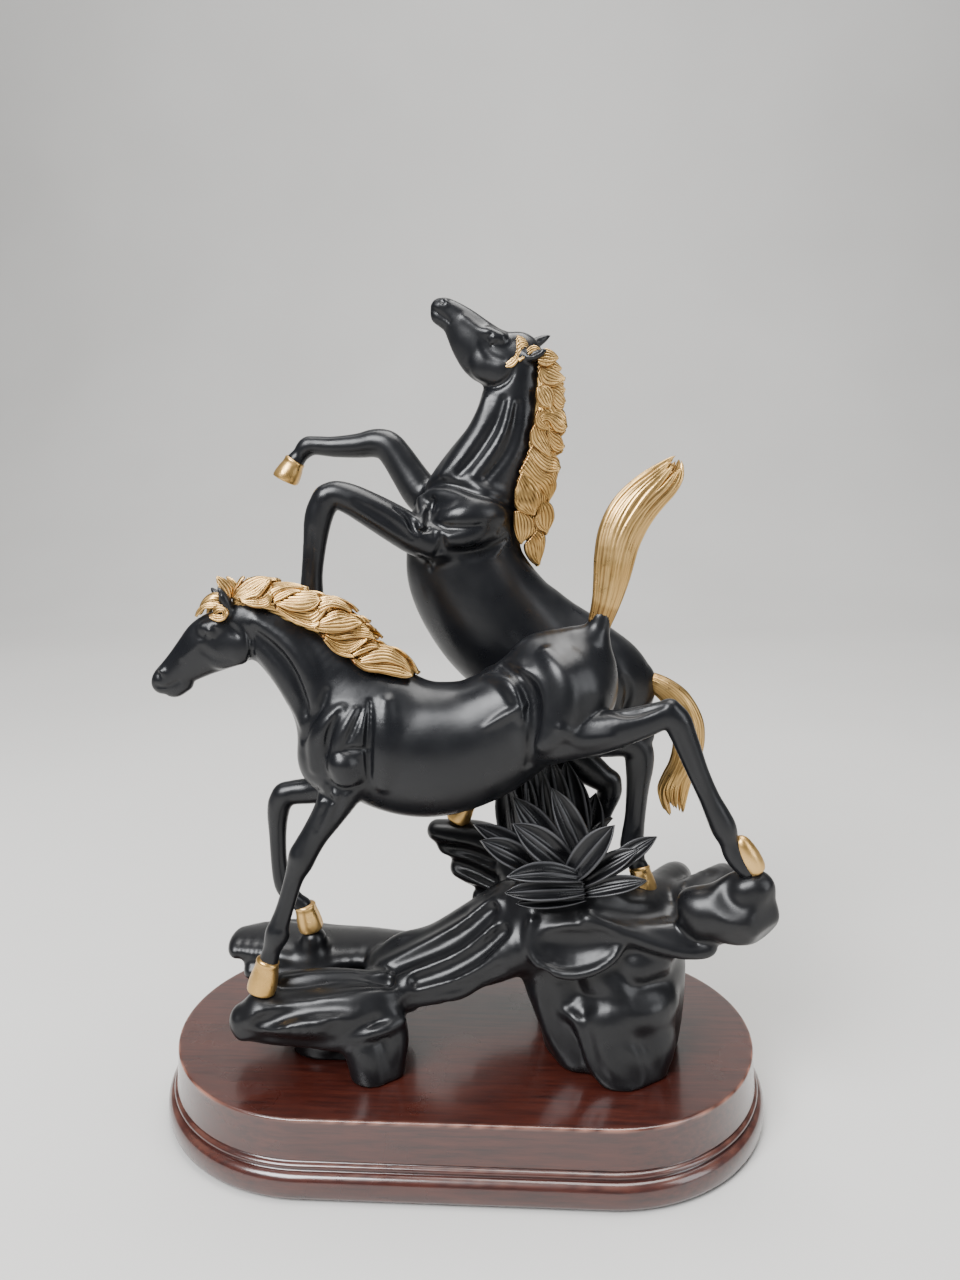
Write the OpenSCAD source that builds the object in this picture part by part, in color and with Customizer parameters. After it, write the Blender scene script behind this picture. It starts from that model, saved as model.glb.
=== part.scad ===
// Two cast horses with gilded manes, tails and hooves, on a rock with a rosette of leaves,
// screwed to an oval wooden plinth. +X is the viewer's right, -Y faces the viewer, +Z is up.
// The origin is the centre of the plinth's footprint, on the surface that it stands on.

/* [Plinth] */
// Length of the plinth's flat top
plinth_l = 180; // [150:1:216]
// Depth of the plinth's flat top, which is also twice the radius of its ends
plinth_w = 95; // [79:1:114]
// Height of the wooden plinth, without its pads
plinth_h = 22; // [18:0.5:28]
// How far the foot moulding stands out beyond the flat top
foot_out = 4; // [3:0.5:6]
// Height of the foot moulding
foot_h = 7.5; // [6:0.5:9]
// Width of the small bead above the foot moulding
bead_h = 2.4; // [1.6:0.2:3.2]

/* [Pads] */
// Diameter of each felt pad
pad_d = 14; // [10:1:18]
// Thickness of each felt pad
pad_t = 1; // [0.8:0.1:2]
// How far a pad's edge stays inside the plinth's flat top
pad_inset = 6; // [4:1:10]

/* [Cast group] */
// Height of the cast group above the plinth
group_h = 225; // [188:1:270]

/* [Fastening] */
// Shank diameter of the screws that hold the rock to the plinth
screw_d = 3.5; // [3:0.5:4.5]
// How far each screw goes into the rock
screw_grip = 12; // [9:1:14]
// Head diameter of the screws
screw_head_d = 7; // [6:0.5:8]
// Diameter of the steel pins inside the legs and tails
pin_d = 1.6; // [1.2:0.1:2]
// Radial clearance of a pin or screw in its hole
fit_gap = 0.1; // [0.05:0.05:0.2]

/* [Hidden] */

top_z = pad_t + plinth_h;            // height of the plinth's flat top
design_h = 225;                      // height at which the group's points below are given
gs = group_h / design_h;             // scale of the cast group
black = [0.03, 0.03, 0.035];
gold = [0.83, 0.62, 0.30];
wood = [0.22, 0.05, 0.03];

// ---------------------------------------------------------------- group outlines, in mm
// Each row is x, y, z above the plinth, half height across the spine, half width.
front_spine = [[43.8, -14, 117.2, 4, 4], [41.4, -14, 117.4, 12.4, 8.4], [35.4, -14, 116.4, 15.4, 12.3],
    [27.4, -14, 111.4, 16.8, 14], [17, -14, 105, 16.6, 13.6], [5, -14, 98.8, 17.3, 14],
    [-8, -14, 96.5, 18.6, 14.2], [-19, -14, 98.5, 18.2, 13.4], [-28, -14.2, 102.5, 17.4, 12],
    [-34, -14.5, 109, 15.6, 10], [-40.5, -14.8, 116.5, 12.2, 8], [-48.5, -15, 124.5, 9, 6.2],
    [-55, -15.5, 130, 7.2, 5], [-60.5, -16, 133.5, 6, 4.4], [-64, -16, 134.5, 3.5, 3]];
front_head = [[-58, -16, 130, 4, 3], [-61.5, -16, 128, 8, 5], [-66, -16, 126.2, 7.9, 5],
    [-70.5, -16, 123.2, 6.6, 4.4], [-75, -16, 120, 5.3, 3.6], [-79, -16, 117.2, 4.6, 3.2],
    [-82.4, -16, 115.2, 3.9, 3], [-84.1, -16, 114.2, 1.9, 1.9]];
rear_spine = [[51.5, 20, 103.5, 5, 4], [49, 20, 105, 11, 8], [43, 20, 108, 15.5, 12],
    [33.6, 20, 112, 17.4, 13.2], [23.6, 20, 118, 17.8, 13.4], [14.4, 20, 125.2, 18, 13.6],
    [6, 20, 133.6, 18.6, 13.6], [0.8, 20, 142.6, 18.2, 13.2], [0, 20, 151.6, 16.8, 12],
    [1.8, 20, 161, 14.8, 10], [5.6, 20, 170.5, 12.4, 8.2], [10.4, 20, 180, 10.2, 6.8],
    [13.8, 20.5, 190, 8.8, 5.8], [15.8, 20.5, 199, 7.6, 5.2], [17.5, 20.5, 206, 6.4, 4.6],
    [19.5, 20.5, 211, 3.5, 3]];
rear_head = [[18, 20.5, 203.5, 4, 3], [13.5, 20.5, 205, 7.8, 5], [8.5, 20.5, 207.5, 7.8, 4.8],
    [4, 20.5, 211.6, 6.2, 4.2], [0, 20.5, 215.6, 4.8, 3.4], [-3.6, 20.5, 219.2, 4, 3.2],
    [-6.4, 20.5, 221.6, 3.2, 2.8], [-7.8, 20.5, 222.6, 1.6, 1.6]];

// Each row of a leg is x, y, z above the plinth, radius. The last row is the pastern's end.
front_near_fore = [[-28, -22, 100, 8.5], [-29, -23, 91, 6.6], [-34.5, -24, 82, 5], [-39.5, -24.6, 75, 4],
    [-43, -25, 69, 3.9], [-45.5, -25.4, 62.5, 3], [-48.5, -25.8, 52, 2.7], [-51, -26, 45, 3.3],
    [-53, -26, 38.5, 2.5], [-54.4, -26, 35, 2.6]];
front_off_fore = [[-28, -7, 98, 8], [-32, -6, 86, 6.4], [-42, -4.4, 79.5, 4.6], [-50, -4, 78.2, 3.7],
    [-54, -4, 75.6, 3.8], [-55.8, -3.8, 69, 3], [-56.4, -3.4, 58, 2.6], [-55.4, -3, 48, 2.9],
    [-51.8, -2.4, 42.6, 2.4], [-49.8, -2.2, 40.6, 2.5]];
front_near_hind = [[33.6, -18, 112, 11.6], [28, -22, 104, 9.6], [33, -25, 102.5, 7.4], [42, -26, 105, 6],
    [51, -26.6, 108, 4.8], [58.4, -27, 109.2, 4.2], [62.5, -26.8, 102, 3.7], [67.5, -26.2, 91, 3],
    [71.2, -25.8, 83, 3.1], [73.8, -25.4, 77.4, 3.8], [76.6, -25, 72.4, 2.7], [78.6, -24.8, 70.4, 2.6]];
front_off_hind = [[33.6, -10.4, 110, 10.4], [33, -5, 101, 8.8], [43, -3.4, 96.5, 6.4], [50, -3, 94.4, 5.2],
    [53, -3, 91, 4.8], [53, -3, 82, 3.8], [52.2, -3.4, 71, 3.4], [51.4, -4, 63.5, 3.9],
    [52.8, -4.8, 58.4, 2.9], [53.8, -5.2, 56, 2.8]];
rear_near_fore = [[3, 12, 160, 9.5], [-3, 9.6, 154.5, 7.4], [-10.5, 7.4, 152.2, 5.2], [-16, 6.4, 156, 4.9],
    [-22, 5.4, 160, 4.5], [-30, 4.6, 165, 3.9], [-36.6, 4, 167.6, 4], [-40, 4, 162, 3.4],
    [-42, 4, 153, 2.9], [-43.4, 4, 143.6, 2.8], [-44, 4, 138, 3.2], [-43.4, 4, 132.6, 2.5],
    [-43, 4, 130.4, 2.5]];
rear_off_fore = [[0, 26, 162, 9], [-8, 27.6, 162.4, 7], [-14, 28.8, 165.4, 5.6], [-19, 30, 173, 4.6],
    [-23, 30.8, 179.6, 3.8], [-26, 31.2, 182.6, 3.6], [-31, 31.6, 182, 2.9], [-41, 32.4, 181.2, 2.7],
    [-50.4, 33, 181.4, 3.1], [-53.4, 33, 178.6, 2.5], [-54.8, 33, 176.6, 2.5]];
rear_near_hind = [[40, 16.4, 108, 11.2], [30, 13, 97, 9.4], [27, 12, 91.4, 7.6], [36, 11.4, 84, 5.8],
    [43, 11, 79, 4.8], [45.4, 11, 75.6, 4.2], [43, 11, 68, 3.3], [39.6, 11, 56, 3], [37, 11, 48.4, 3.6],
    [34.6, 11, 44.4, 2.7], [33.6, 11, 42.6, 2.7]];
rear_off_hind = [[40, 24, 108, 11.5], [27, 27, 99, 9.6], [20, 28, 92, 7.4], [21.6, 28, 84, 5.4],
    [23.6, 28, 77.6, 4.4], [20, 27.8, 74.4, 3.6], [11, 27.2, 71, 3], [4.6, 26.6, 68.6, 3.5],
    [1.4, 26.2, 66, 2.6], [0, 26, 64.8, 2.6]];

// Each hoof is its crown's centre, its sole's centre, and the two radii.
front_hooves = [[[-54.4, -26, 35], [-57, -26, 25.4], 3.5, 5],
    [[-49.6, -2.2, 40.6], [-47, -1.4, 32.4], 3.2, 4.3],
    [[78.4, -24.8, 70.8], [82.8, -24.8, 64.6], 3.3, 4.6],
    [[53.8, -5.2, 56.2], [56.4, -6, 49.4], 3.3, 4.5]];
rear_hooves = [[[-43, 4, 130.4], [-42, 4, 123], 3.2, 4.2],
    [[-54.8, 33, 176.8], [-58, 33, 170.6], 3.1, 4.3],
    [[33.6, 11, 42.6], [30.6, 11, 34.6], 3.3, 4.5],
    [[0, 26, 65], [-3.4, 26, 57.8], 3.3, 4.5]];
// How far a standing hoof's pin goes into the rock, and up into the leg
pin_down = 5;
pin_up = 7;

// Each row of a tail is x, y, z above the plinth, radius along the view, radius across it.
front_tail_line = [[39, -14, 131, 3, 3], [40.2, -14, 135, 3.4, 3], [42, -13.4, 142, 5, 3.6],
    [43.8, -12.8, 151, 6.2, 4.2], [46.6, -12, 160.6, 6.6, 4.4], [52, -11, 169.4, 6, 4.2],
    [58.6, -10, 174.6, 4.4, 3.4], [63.2, -9.4, 177, 2, 2]];
rear_tail_line = [[54.5, 20, 109, 3, 3], [58.6, 20, 109.4, 3.6, 3], [64, 19.6, 105.6, 5.2, 3.8],
    [68.6, 19.2, 98.6, 6.4, 4.4], [71.2, 18.6, 90, 6.4, 4.6], [71.4, 17.8, 82, 6, 4.4],
    [69.6, 17, 75, 5.2, 3.8], [66.8, 16, 69.6, 3.8, 3], [64, 15.4, 66.4, 1.8, 1.6]];
// Each row of a mane's crest is x, y, z above the plinth, radius, and the direction its locks are swept in.
front_crest = [[-62, -16.4, 139.6, 2.6], [-57, -17.4, 140, 3.6], [-51.6, -18, 138.6, 4.2],
    [-45, -18.6, 135.8, 4.8], [-38, -19, 132.2, 5.2], [-31, -19.4, 127.4, 5], [-24.6, -19, 122.4, 4.4],
    [-18.4, -17.4, 118.6, 3.4], [-13, -15.6, 116.4, 1.8]];
rear_crest = [[21.4, 19, 209, 2.4], [23.6, 17.8, 203.6, 3.6], [24, 17, 197, 4.3], [23.6, 16.4, 190.4, 4.6],
    [23, 16, 183.6, 5], [21.6, 15.8, 176.4, 5.4], [19.8, 15.6, 169, 5.6], [18.8, 15.6, 161.8, 5.2],
    [19.6, 16.2, 154.4, 4.2], [22, 17.4, 147.6, 2]];
front_sweep = [7.4, -1, 1.4];
rear_sweep = [6.4, -1, -1.6];
front_forelock_line = [[-64.6, -16.4, 139.6, 1.8], [-68, -17.4, 137.4, 1.8], [-69.2, -19, 134.4, 1.2]];
rear_forelock_line = [[19.4, 18.8, 210.6, 1.8], [16, 16.6, 209, 1.8], [14, 15, 206, 1.3]];
front_ears = [[[-63.4, -18.6, 137], [-66, -19.6, 144.4]], [[-64.6, -13, 137], [-67.6, -12, 143.2]]];
rear_ears = [[[18.6, 16.6, 207.6], [23.6, 15.4, 209]], [[19.4, 23.6, 210], [25.4, 25, 214]]];

// Cheeks, brows and nostrils
front_face = [[-62.4, -18.4, 127, 4.6], [-62.4, -13.6, 127, 4.6], [-68, -19.4, 130, 1.7], [-68, -12.6, 130, 1.7],
    [-82.2, -18, 117, 1.5], [-82.2, -14, 117, 1.5]];
rear_face = [[11.6, 17.6, 205.4, 4.8], [11.6, 23.4, 205.4, 4.8], [9.6, 16.6, 211.4, 1.7], [9.6, 24.4, 211.4, 1.7],
    [-5.6, 18.6, 222, 1.5], [-5.6, 22.4, 222, 1.5]];

// Each leaf is its root, its tip and its widest half width.
rosette = [[[22, -17, 62.6], [7, -22, 71], 3.8], [[32, -17, 62], [16, -20.5, 75.5], 4.4],
    [[32, -19, 60], [44.5, -22, 76], 3.8], [[34, -21, 60.5], [14.5, -27, 63.5], 3.2],
    [[36, -22, 58], [14, -27.6, 58.6], 3.2], [[36, -19, 58], [51, -20.6, 68.6], 3], [[44, -12, 58], [57.6, -10, 68], 3],
    [[24, -13, 62], [5, -15, 73], 3.2], [[30, -13, 62], [16, -11, 80], 3.8], [[36, -12, 60], [27, -12, 82], 3.8],
    [[38, -18, 57], [54, -22, 60], 2.8]];
uprights = [[[16, -3, 60], [13.6, -1, 84], 3.6], [[21, -3, 60], [17, 1, 88], 3.8], [[26, -4, 60], [21, 1, 90], 4],
    [[31, -5, 60], [26, 1, 90], 4], [[36, -5, 60], [31, 2, 88], 3.8]];

// The rock is a union of rounded masses. Each mass is a list of balls: x, y, z above the plinth, radius.
rock_masses = [
    // front-left ledge, its ridge, its foot and the lobe before it
    [[-61, -29, 17, 3.4], [-56, -26, 20.6, 5], [-46, -31, 12.6, 4], [-36, -30, 12, 4], [-22, -22, 21, 4.6],
     [-44, -17, 19.6, 5]],
    [[-63, -27, 16.4, 3], [-54, -23, 9, 5], [-50, -18, -2, 7], [-30, -18, -2, 8], [-34, -22, 13, 5]],
    [[-52, -29, 14, 3.6], [-36, -29, 16.6, 3.4], [-20, -21, 24, 3.6], [-22, -15, 22, 4]],
    [[-33, -29, 9, 4.6], [-19, -26, 16, 4], [-24, -29, 2, 4.6], [-17, -22, 2, 4], [-31, -22, 2, 6]],
    // rear-left plate with its foot, the nub on it and the web to the ledge
    [[-71, 6, 24.6, 3.4], [-73.6, 2, 21.6, 2.4], [-50, 14, 23.4, 3.4], [-30, 14, 23.4, 3.4],
     [-21, 4, 24.6, 3.4], [-36, -6, 20.6, 3.4], [-60, -5, 19.6, 3.4]],
    [[-56, 4, 19, 5], [-48, 6, -2, 8], [-30, 6, -2, 8], [-28, 4, 20, 6]],
    [[-47.4, -1.6, 23, 5.4], [-47.2, -1.4, 29.4, 4]],
    [[-36, -16, 8, 8], [-36, 4, 8, 8], [-20, -8, 18, 5], [-20, 4, 19, 5]],
    // bridge, with three folds running up it
    [[-22, -14, 24, 4.6], [-5, -14, 28, 5.6], [5, -14, 31, 5.6], [10, -12, 37, 7], [-14, -4, 26, 5]],
    [[-24, -18, 21, 3], [-10, -18, 28, 3], [2, -18, 31.6, 2.8], [8, -15, 34, 3]],
    [[-20, -12, 26.6, 3.4], [-4, -11, 35.6, 3.2], [10, -9, 44.6, 3.4]],
    [[-18, -6, 27.6, 3.2], [-2, -4, 38, 3], [12, -2, 48.6, 3.4], [8, -8, 40, 4]],
    [[6, -14, 32, 6], [14, -17, 30, 6], [20, -14, 32, 9], [20, -8, 44, 9], [10, -5, 40, 6]],
    // right-hand pillar
    [[27, -4, -2, 10], [52, -4, -2, 11], [56, 12, -2, 10], [30, 14, -2, 10],
     [26, -8, 42, 9], [54, -8, 42, 10], [58, 10, 40, 9], [30, 14, 26, 9]],
    [[48, -23, 2, 8.6], [57, -19, 4, 7], [41, -22, 8, 6], [45, -20, 22, 8], [57, -17, 26, 8], [44, -12, 4, 10]],
    [[34, -16, 40, 10], [30, -15, 40, 9], [42, -16, 36, 9], [40, -10, 20, 12]],
    [[28, -21, 36.6, 6.4], [42, -24.6, 41, 5.6], [34, -21, 29, 5.6], [40, -13, 46, 8]],
    [[44, -24, 42.6, 4], [54, -22, 37, 4.4], [62, -18, 36, 5], [52, -14, 44, 6]],
    [[30, -12, 48, 7], [44, -13, 46, 7], [26, -12, 44, 7]],
    // knob, shelf and lumps on the right
    [[62, -14, 44, 8], [70, -20, 50, 6.6], [78, -22, 53.6, 7.6], [83, -22.6, 55.6, 8.4], [86, -20, 52, 4.6]],
    [[60, 4, 43, 6.4], [66, 15, 43, 6.6], [81, 8, 46, 6.4], [76, -10, 48, 7], [62, -6, 44, 7]],
    [[56, -5.6, 40, 8], [56.4, -5.6, 45, 5.4]],
    // spike behind, the column under it and the seat of the inner hind hoof
    [[-9, 26, 53.6, 4.4], [4, 26, 53.6, 4.4], [16, 20, 48, 7], [-3, 24, 46, 4], [8, 20, 34, 6]],
    [[-2, 22, 44, 4.4], [14, 20, 46, 6], [4, 18, 34, 5], [18, 14, 28, 8], [26, 12, 26, 8]],
    [[31, 11, 20, 12], [31, 11, 30.6, 7]]];
// Where the screws come up into the rock, x and y
screw_spots = [[-42, -8], [44, 2]];
ring_sides = 18;
leg_sides = 12;
leaf_sides = 6;
ball_fn = 14;
lock_fn = 10;
hole_fn = 32;
disc_fn = 48;
leaf_swell = [0.55, 0.9, 1, 0.82, 0.5, 0.08]; // a leaf's width from root to tip
leaf_bow = 0.1;                      // how far a leaf arches, over its length
leaf_thick = 0.3;                    // a leaf's half thickness over its half width
heart_swell = [0.8, 0.6];            // top and bottom of a leaf's root in the heart, over its half width
heart_drop = 2;
core_r = 1.6;                        // the ball that ties each root to the heart, and its drop
core_drop = 1;
ear_r = [1.5, 1.4, 0.35];            // root, middle and tip
dock_r = [3.2, 3];
hip_swell = [1.06, 1.05];            // how far the upper muscles of a leg stand out of its skin
lock_root = 0.9;                     // a mane lock's root, over the crest's radius
lock_rise = 0.4;                     // how far its tip rises, over the crest's radius
lock_tip_r = 0.6;
forelock_gap = 1.8;
steel = [0.72, 0.72, 0.74];
felt = [0.08, 0.16, 0.10];

// ---------------------------------------------------------------- helpers
function unit(v) = v / norm(v);
function xyz(p) = [p[0], p[1], p[2]];
function heading(s, i) = unit(xyz(s[min(i + 1, len(s) - 1)]) - xyz(s[max(i - 1, 0)]));
function side_of(t, hint) = unit(hint - t * (hint * t));
// One elliptical ring of a loft: half size a across the spine and b along the hint direction.
function ring(c, t, hint, a, b, n) =
    let (v = side_of(t, hint), u = cross(v, t))
    [for (i = [0 : n - 1]) c + u * a * cos(360 * i / n) + v * b * sin(360 * i / n)];

// A closed skin over the rings of spine s, whose rows end in the two half sizes.
module loft(s, n, hint = [0, 1, 0]) {
    m = len(s);
    wide = len(s[0]) > 4 ? 4 : 3;
    pts = [for (i = [0 : m - 1]) each ring(xyz(s[i]), heading(s, i), hint, s[i][3], s[i][wide], n)];
    walls = [for (i = [0 : m - 2], k = [0 : n - 1])
        let (a = i * n + k, b = i * n + (k + 1) % n) each [[b, a, b + n], [b + n, a, a + n]]];
    caps = [[for (k = [0 : n - 1]) k], [for (k = [n - 1 : -1 : 0]) (m - 1) * n + k]];
    polyhedron(points = pts, faces = concat(walls, caps), convexity = 8);
}

module ball(p, fn = ball_fn) translate(xyz(p)) sphere(r = p[3], $fn = fn);

// Balls joined one to the next, as a chain.
module chain(s) for (i = [0 : len(s) - 2]) hull() {
    ball(s[i], lock_fn);
    ball(s[i + 1], lock_fn);
}

// The cast group's own space: it stands on the plinth, at the group's scale.
module group_space() translate([0, 0, top_z]) scale(gs) children();

// Turns the +Z axis onto the line from a to b, with a at its foot.
module along(a, b) {
    d = b - a;
    translate(a) rotate([0, acos(d[2] / norm(d)), atan2(d[1], d[0])]) children();
}

function place(p) = [p[0] * gs, p[1] * gs, top_z + p[2] * gs];

// ---------------------------------------------------------------- plinth
// Half of the plinth's section: distance inside the foot moulding's edge, height.
module plinth_section(reach) {
    bead_z = foot_h + bead_h;
    union() {
        polygon([[0, 0], [reach, 0], [reach, plinth_h], [0, plinth_h]]);
        polygon([[reach - 0.01, bead_z], [reach + foot_out * 0.3, bead_z], [reach, plinth_h],
                 [reach - 0.01, plinth_h]]);
        polygon([[reach - 0.01, 0], [reach + foot_out - 1, 0], [reach + foot_out, 1.5],
                 [reach + foot_out, foot_h - 3], [reach + foot_out * 0.6, foot_h], [reach - 0.01, foot_h]]);
        translate([reach + foot_out * 0.3, foot_h + bead_h / 2]) circle(d = bead_h, $fn = 24);
        polygon([[reach - 0.01, foot_h - 0.01], [reach + foot_out * 0.3, foot_h - 0.01],
                 [reach + foot_out * 0.3, bead_z + 0.01], [reach - 0.01, bead_z + 0.01]]);
    }
}

module plinth_solid() {
    r = plinth_w / 2;
    straight = plinth_l - plinth_w;
    for (side = [0, 1]) rotate([0, 0, side * 180]) {
        translate([straight / 2, 0, 0]) rotate([0, 0, -90])
            rotate_extrude(angle = 180, $fn = 96) plinth_section(r);
        translate([straight / 2, 0, 0]) rotate([90, 0, -90])
            linear_extrude(height = straight) plinth_section(r);
    }
}

head_recess = 4;                     // depth of the recess that hides a screw's head and washer
washer_d = screw_head_d + 2;
washer_t = 0.8;
recess_d = washer_d + 1;
head_t = 2.2;
head_taper = 0.86;                   // a screw head's outer face over its full diameter
slot_half = screw_head_d * 0.3;      // the cross recess in a screw's head
slot_w = 0.8;
slot_deep = 1;
tip_l = 2;                           // a screw's point, its length and end diameter
tip_d = 0.8;

module screw_holes(d, from, to) for (s = screw_spots)
    translate([s[0] * gs, s[1] * gs, from]) cylinder(d = d, h = to - from, $fn = hole_fn);

module plinth() color(wood) difference() {
    translate([0, 0, pad_t]) plinth_solid();
    screw_holes(screw_d + 2 * fit_gap, 0, top_z + 1);
    screw_holes(recess_d, pad_t - 1, pad_t + head_recess);
}

pad_spots = [for (sx = [-1, 1], sy = [-1, 1])
    [sx * (plinth_l - plinth_w) / 2, sy * (plinth_w / 2 - pad_inset - pad_d / 2)]];

module felt_pads() color(felt) for (p = pad_spots)
    translate([p[0], p[1], 0]) cylinder(d = pad_d, h = pad_t, $fn = disc_fn);

module screw_washers() color(steel) for (s = screw_spots)
    translate([s[0] * gs, s[1] * gs, pad_t + head_recess - washer_t]) difference() {
        cylinder(d = washer_d, h = washer_t, $fn = disc_fn);
        translate([0, 0, -1]) cylinder(d = screw_d + 2 * fit_gap, h = washer_t + 2, $fn = hole_fn);
    }

module plinth_screws() color(steel) for (s = screw_spots)
    translate([s[0] * gs, s[1] * gs, pad_t + head_recess - washer_t]) {
        difference() {
            translate([0, 0, -head_t])
                cylinder(d1 = screw_head_d * head_taper, d2 = screw_head_d, h = head_t, $fn = disc_fn);
            for (a = [0, 90]) rotate([0, 0, a])
                translate([-slot_half, -slot_w / 2, -head_t - slot_deep]) cube([2 * slot_half, slot_w, 2 * slot_deep]);
        }
        shank = top_z + screw_grip - (pad_t + head_recess - washer_t);
        cylinder(d = screw_d, h = shank - tip_l, $fn = hole_fn);
        translate([0, 0, shank - tip_l]) cylinder(d1 = screw_d, d2 = tip_d, h = tip_l, $fn = hole_fn);
    }

// ---------------------------------------------------------------- rock and leaves
module rock_mass() intersection() {
    union() for (mass = rock_masses) hull() for (b = mass) ball(b);
    translate([-100, -60, 0]) cube([200, 120, 100]);
}

module rock() color(black) difference() {
    group_space() difference() {
        rock_mass();
        all_hooves();
        horse(true);
        horse(false);
    }
    screw_holes(screw_d + 2 * fit_gap, top_z - 1, top_z + screw_grip + 1);
    leg_pin_holes(front_hooves, [0, 2, 3]);
    leg_pin_holes(rear_hooves, [2, 3]);
}

// A pointed blade that swells from its root and then tapers to its tip.
module leaf(l) {
    root = l[0];
    tip = l[1];
    last = len(leaf_swell) - 1;
    bow = norm(tip - root) * leaf_bow;
    loft([for (i = [0 : last]) let (t = i / last, p = root + (tip - root) * t, half = l[2] * leaf_swell[i])
        [p[0], p[1], p[2] + bow * sin(180 * t), half, half * leaf_thick]], leaf_sides);
}

// The round heart that a bunch of leaves grows from.
module heart(leaves) {
    for (l = leaves) hull() {
        ball([l[0][0], l[0][1], l[0][2], l[2] * heart_swell[0]], lock_fn);
        ball([l[0][0], l[0][1], l[0][2] - heart_drop, l[2] * heart_swell[1]], lock_fn);
    }
    hull() for (l = leaves) ball([l[0][0], l[0][1], l[0][2] - core_drop, core_r], lock_fn);
}

module leaf_bunch(leaves) color(black) group_space() difference() {
    union() {
        for (l = leaves) leaf(l);
        heart(leaves);
    }
    rock_mass();
    horse(true);
    horse(false);
    children();
}

module rosette_leaves() leaf_bunch(rosette) all_hooves();
module upright_leaves() leaf_bunch(uprights) {
    all_hooves();
    for (l = rosette) leaf(l);
    heart(rosette);
}

// ---------------------------------------------------------------- horses
module ear(e) hull() {
    middle = (e[0] + e[1]) / 2;
    ball([e[0][0], e[0][1], e[0][2], ear_r[0]]);
    ball([middle[0], middle[1], middle[2], ear_r[1]]);
    ball([e[1][0], e[1][1], e[1][2], ear_r[2]]);
}

// A knob of muscle or bone: a leg row's ball stretched to the next row.
module knob(leg, i, k) hull() {
    ball([leg[i][0], leg[i][1], leg[i][2], leg[i][3] * k]);
    ball([for (j = [0 : 3]) (leg[i][j] * 2 + leg[i + 1][j]) / 3]);
}

// front picks the striding horse, and otherwise it is the rearing one.
module horse(front) {
    legs = front ? [front_near_fore, front_off_fore, front_near_hind, front_off_hind]
                 : [rear_near_fore, rear_off_fore, rear_near_hind, rear_off_hind];
    loft(front ? front_spine : rear_spine, ring_sides);
    loft(front ? front_head : rear_head, ring_sides);
    for (leg = legs) {
        loft(leg, leg_sides);
        for (i = [0, 1]) knob(leg, i, hip_swell[i]);
    }
    for (e = front ? front_ears : rear_ears) ear(e);
    for (f = front ? front_face : rear_face) ball(f, lock_fn);
}

module hoof_shape(h) along(h[0], h[1])
    cylinder(r1 = h[2], r2 = h[3], h = norm(h[1] - h[0]), $fn = 36);

module all_hooves() for (h = concat(front_hooves, rear_hooves)) hoof_shape(h);

// A standing hoof's pin runs from the leg above it through its sole into the rock.
function pin_top(h) = place(h[0]) - unit(h[1] - h[0]) * pin_up;
function pin_foot(h) = place(h[1]) + unit(h[1] - h[0]) * pin_down;

module leg_pin(h, d, extra)
    along(pin_top(h) - unit(h[1] - h[0]) * extra, pin_foot(h) + unit(h[1] - h[0]) * extra)
    cylinder(d = d, h = norm(pin_foot(h) - pin_top(h)) + 2 * extra, $fn = 24);

module leg_pin_holes(hooves, standing) for (i = standing) leg_pin(hooves[i], pin_d + 2 * fit_gap, fit_gap);

module hoof(h, standing) color(gold) difference() {
    group_space() hoof_shape(h);
    if (standing) leg_pin(h, pin_d + 2 * fit_gap, fit_gap);
}

tail_pin_in = 6;                     // how far a tail's pin goes into the body
tail_pin_out = 8;                    // and how far into the tail

module tail_pin(line, d, extra) {
    dock = place(xyz(line[1]));
    way = unit(xyz(line[2]) - xyz(line[0]));
    along(dock - way * (tail_pin_in + extra), dock + way * (tail_pin_out + extra))
        cylinder(d = d, h = tail_pin_in + tail_pin_out + 2 * extra, $fn = 24);
}

// The black dock that a tail springs from.
module dock(line) hull() {
    for (i = [0, 1]) ball([line[i][0], line[i][1], line[i][2], dock_r[i]]);
}

module tail_shape(line) loft([for (i = [1 : len(line) - 1]) line[i]], leg_sides);

module front_body() color(black) difference() {
    group_space() difference() {
        union() {
            horse(true);
            dock(front_tail_line);
        }
        all_hooves();
        tail_shape(front_tail_line);
    }
    leg_pin_holes(front_hooves, [0, 2, 3]);
    tail_pin(front_tail_line, pin_d + 2 * fit_gap, fit_gap);
}

module rear_body() color(black) difference() {
    group_space() difference() {
        union() {
            horse(false);
            dock(rear_tail_line);
        }
        all_hooves();
        tail_shape(rear_tail_line);
    }
    leg_pin_holes(rear_hooves, [2, 3]);
    tail_pin(rear_tail_line, pin_d + 2 * fit_gap, fit_gap);
}

// A mane is a ridge along the crest, with a lock at each row that is swept back and comes to a point.
module mane_shape(crest, sweep) {
    chain(crest);
    for (i = [0 : len(crest) - 2]) hull() {
        c = crest[i];
        ball([c[0], c[1], c[2], c[3] * lock_root], lock_fn);
        ball([c[0] + sweep[0], c[1] + sweep[1], c[2] + sweep[2] + c[3] * lock_rise, lock_tip_r], lock_fn);
    }
}

module mane(crest, sweep, front) color(gold) group_space() difference() {
    mane_shape(crest, sweep);
    horse(front);
}

// A forelock is a fan of three short locks that fall from the poll over the brow.
module forelock(line, crest, sweep, front) color(gold) group_space() difference() {
    for (dy = [-forelock_gap, 0, forelock_gap], i = [0 : len(line) - 2]) hull() {
        ball([line[i][0], line[i][1] + dy * i, line[i][2], line[i][3]], lock_fn);
        ball([line[i + 1][0], line[i + 1][1] + dy * (i + 1), line[i + 1][2], line[i + 1][3]], lock_fn);
    }
    horse(front);
    mane_shape(crest, sweep);
}

module tail(line) color(gold) difference() {
    group_space() tail_shape(line);
    tail_pin(line, pin_d + 2 * fit_gap, fit_gap);
}

module pins(hooves, standing) color(steel) for (i = standing) leg_pin(hooves[i], pin_d, 0);

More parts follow.
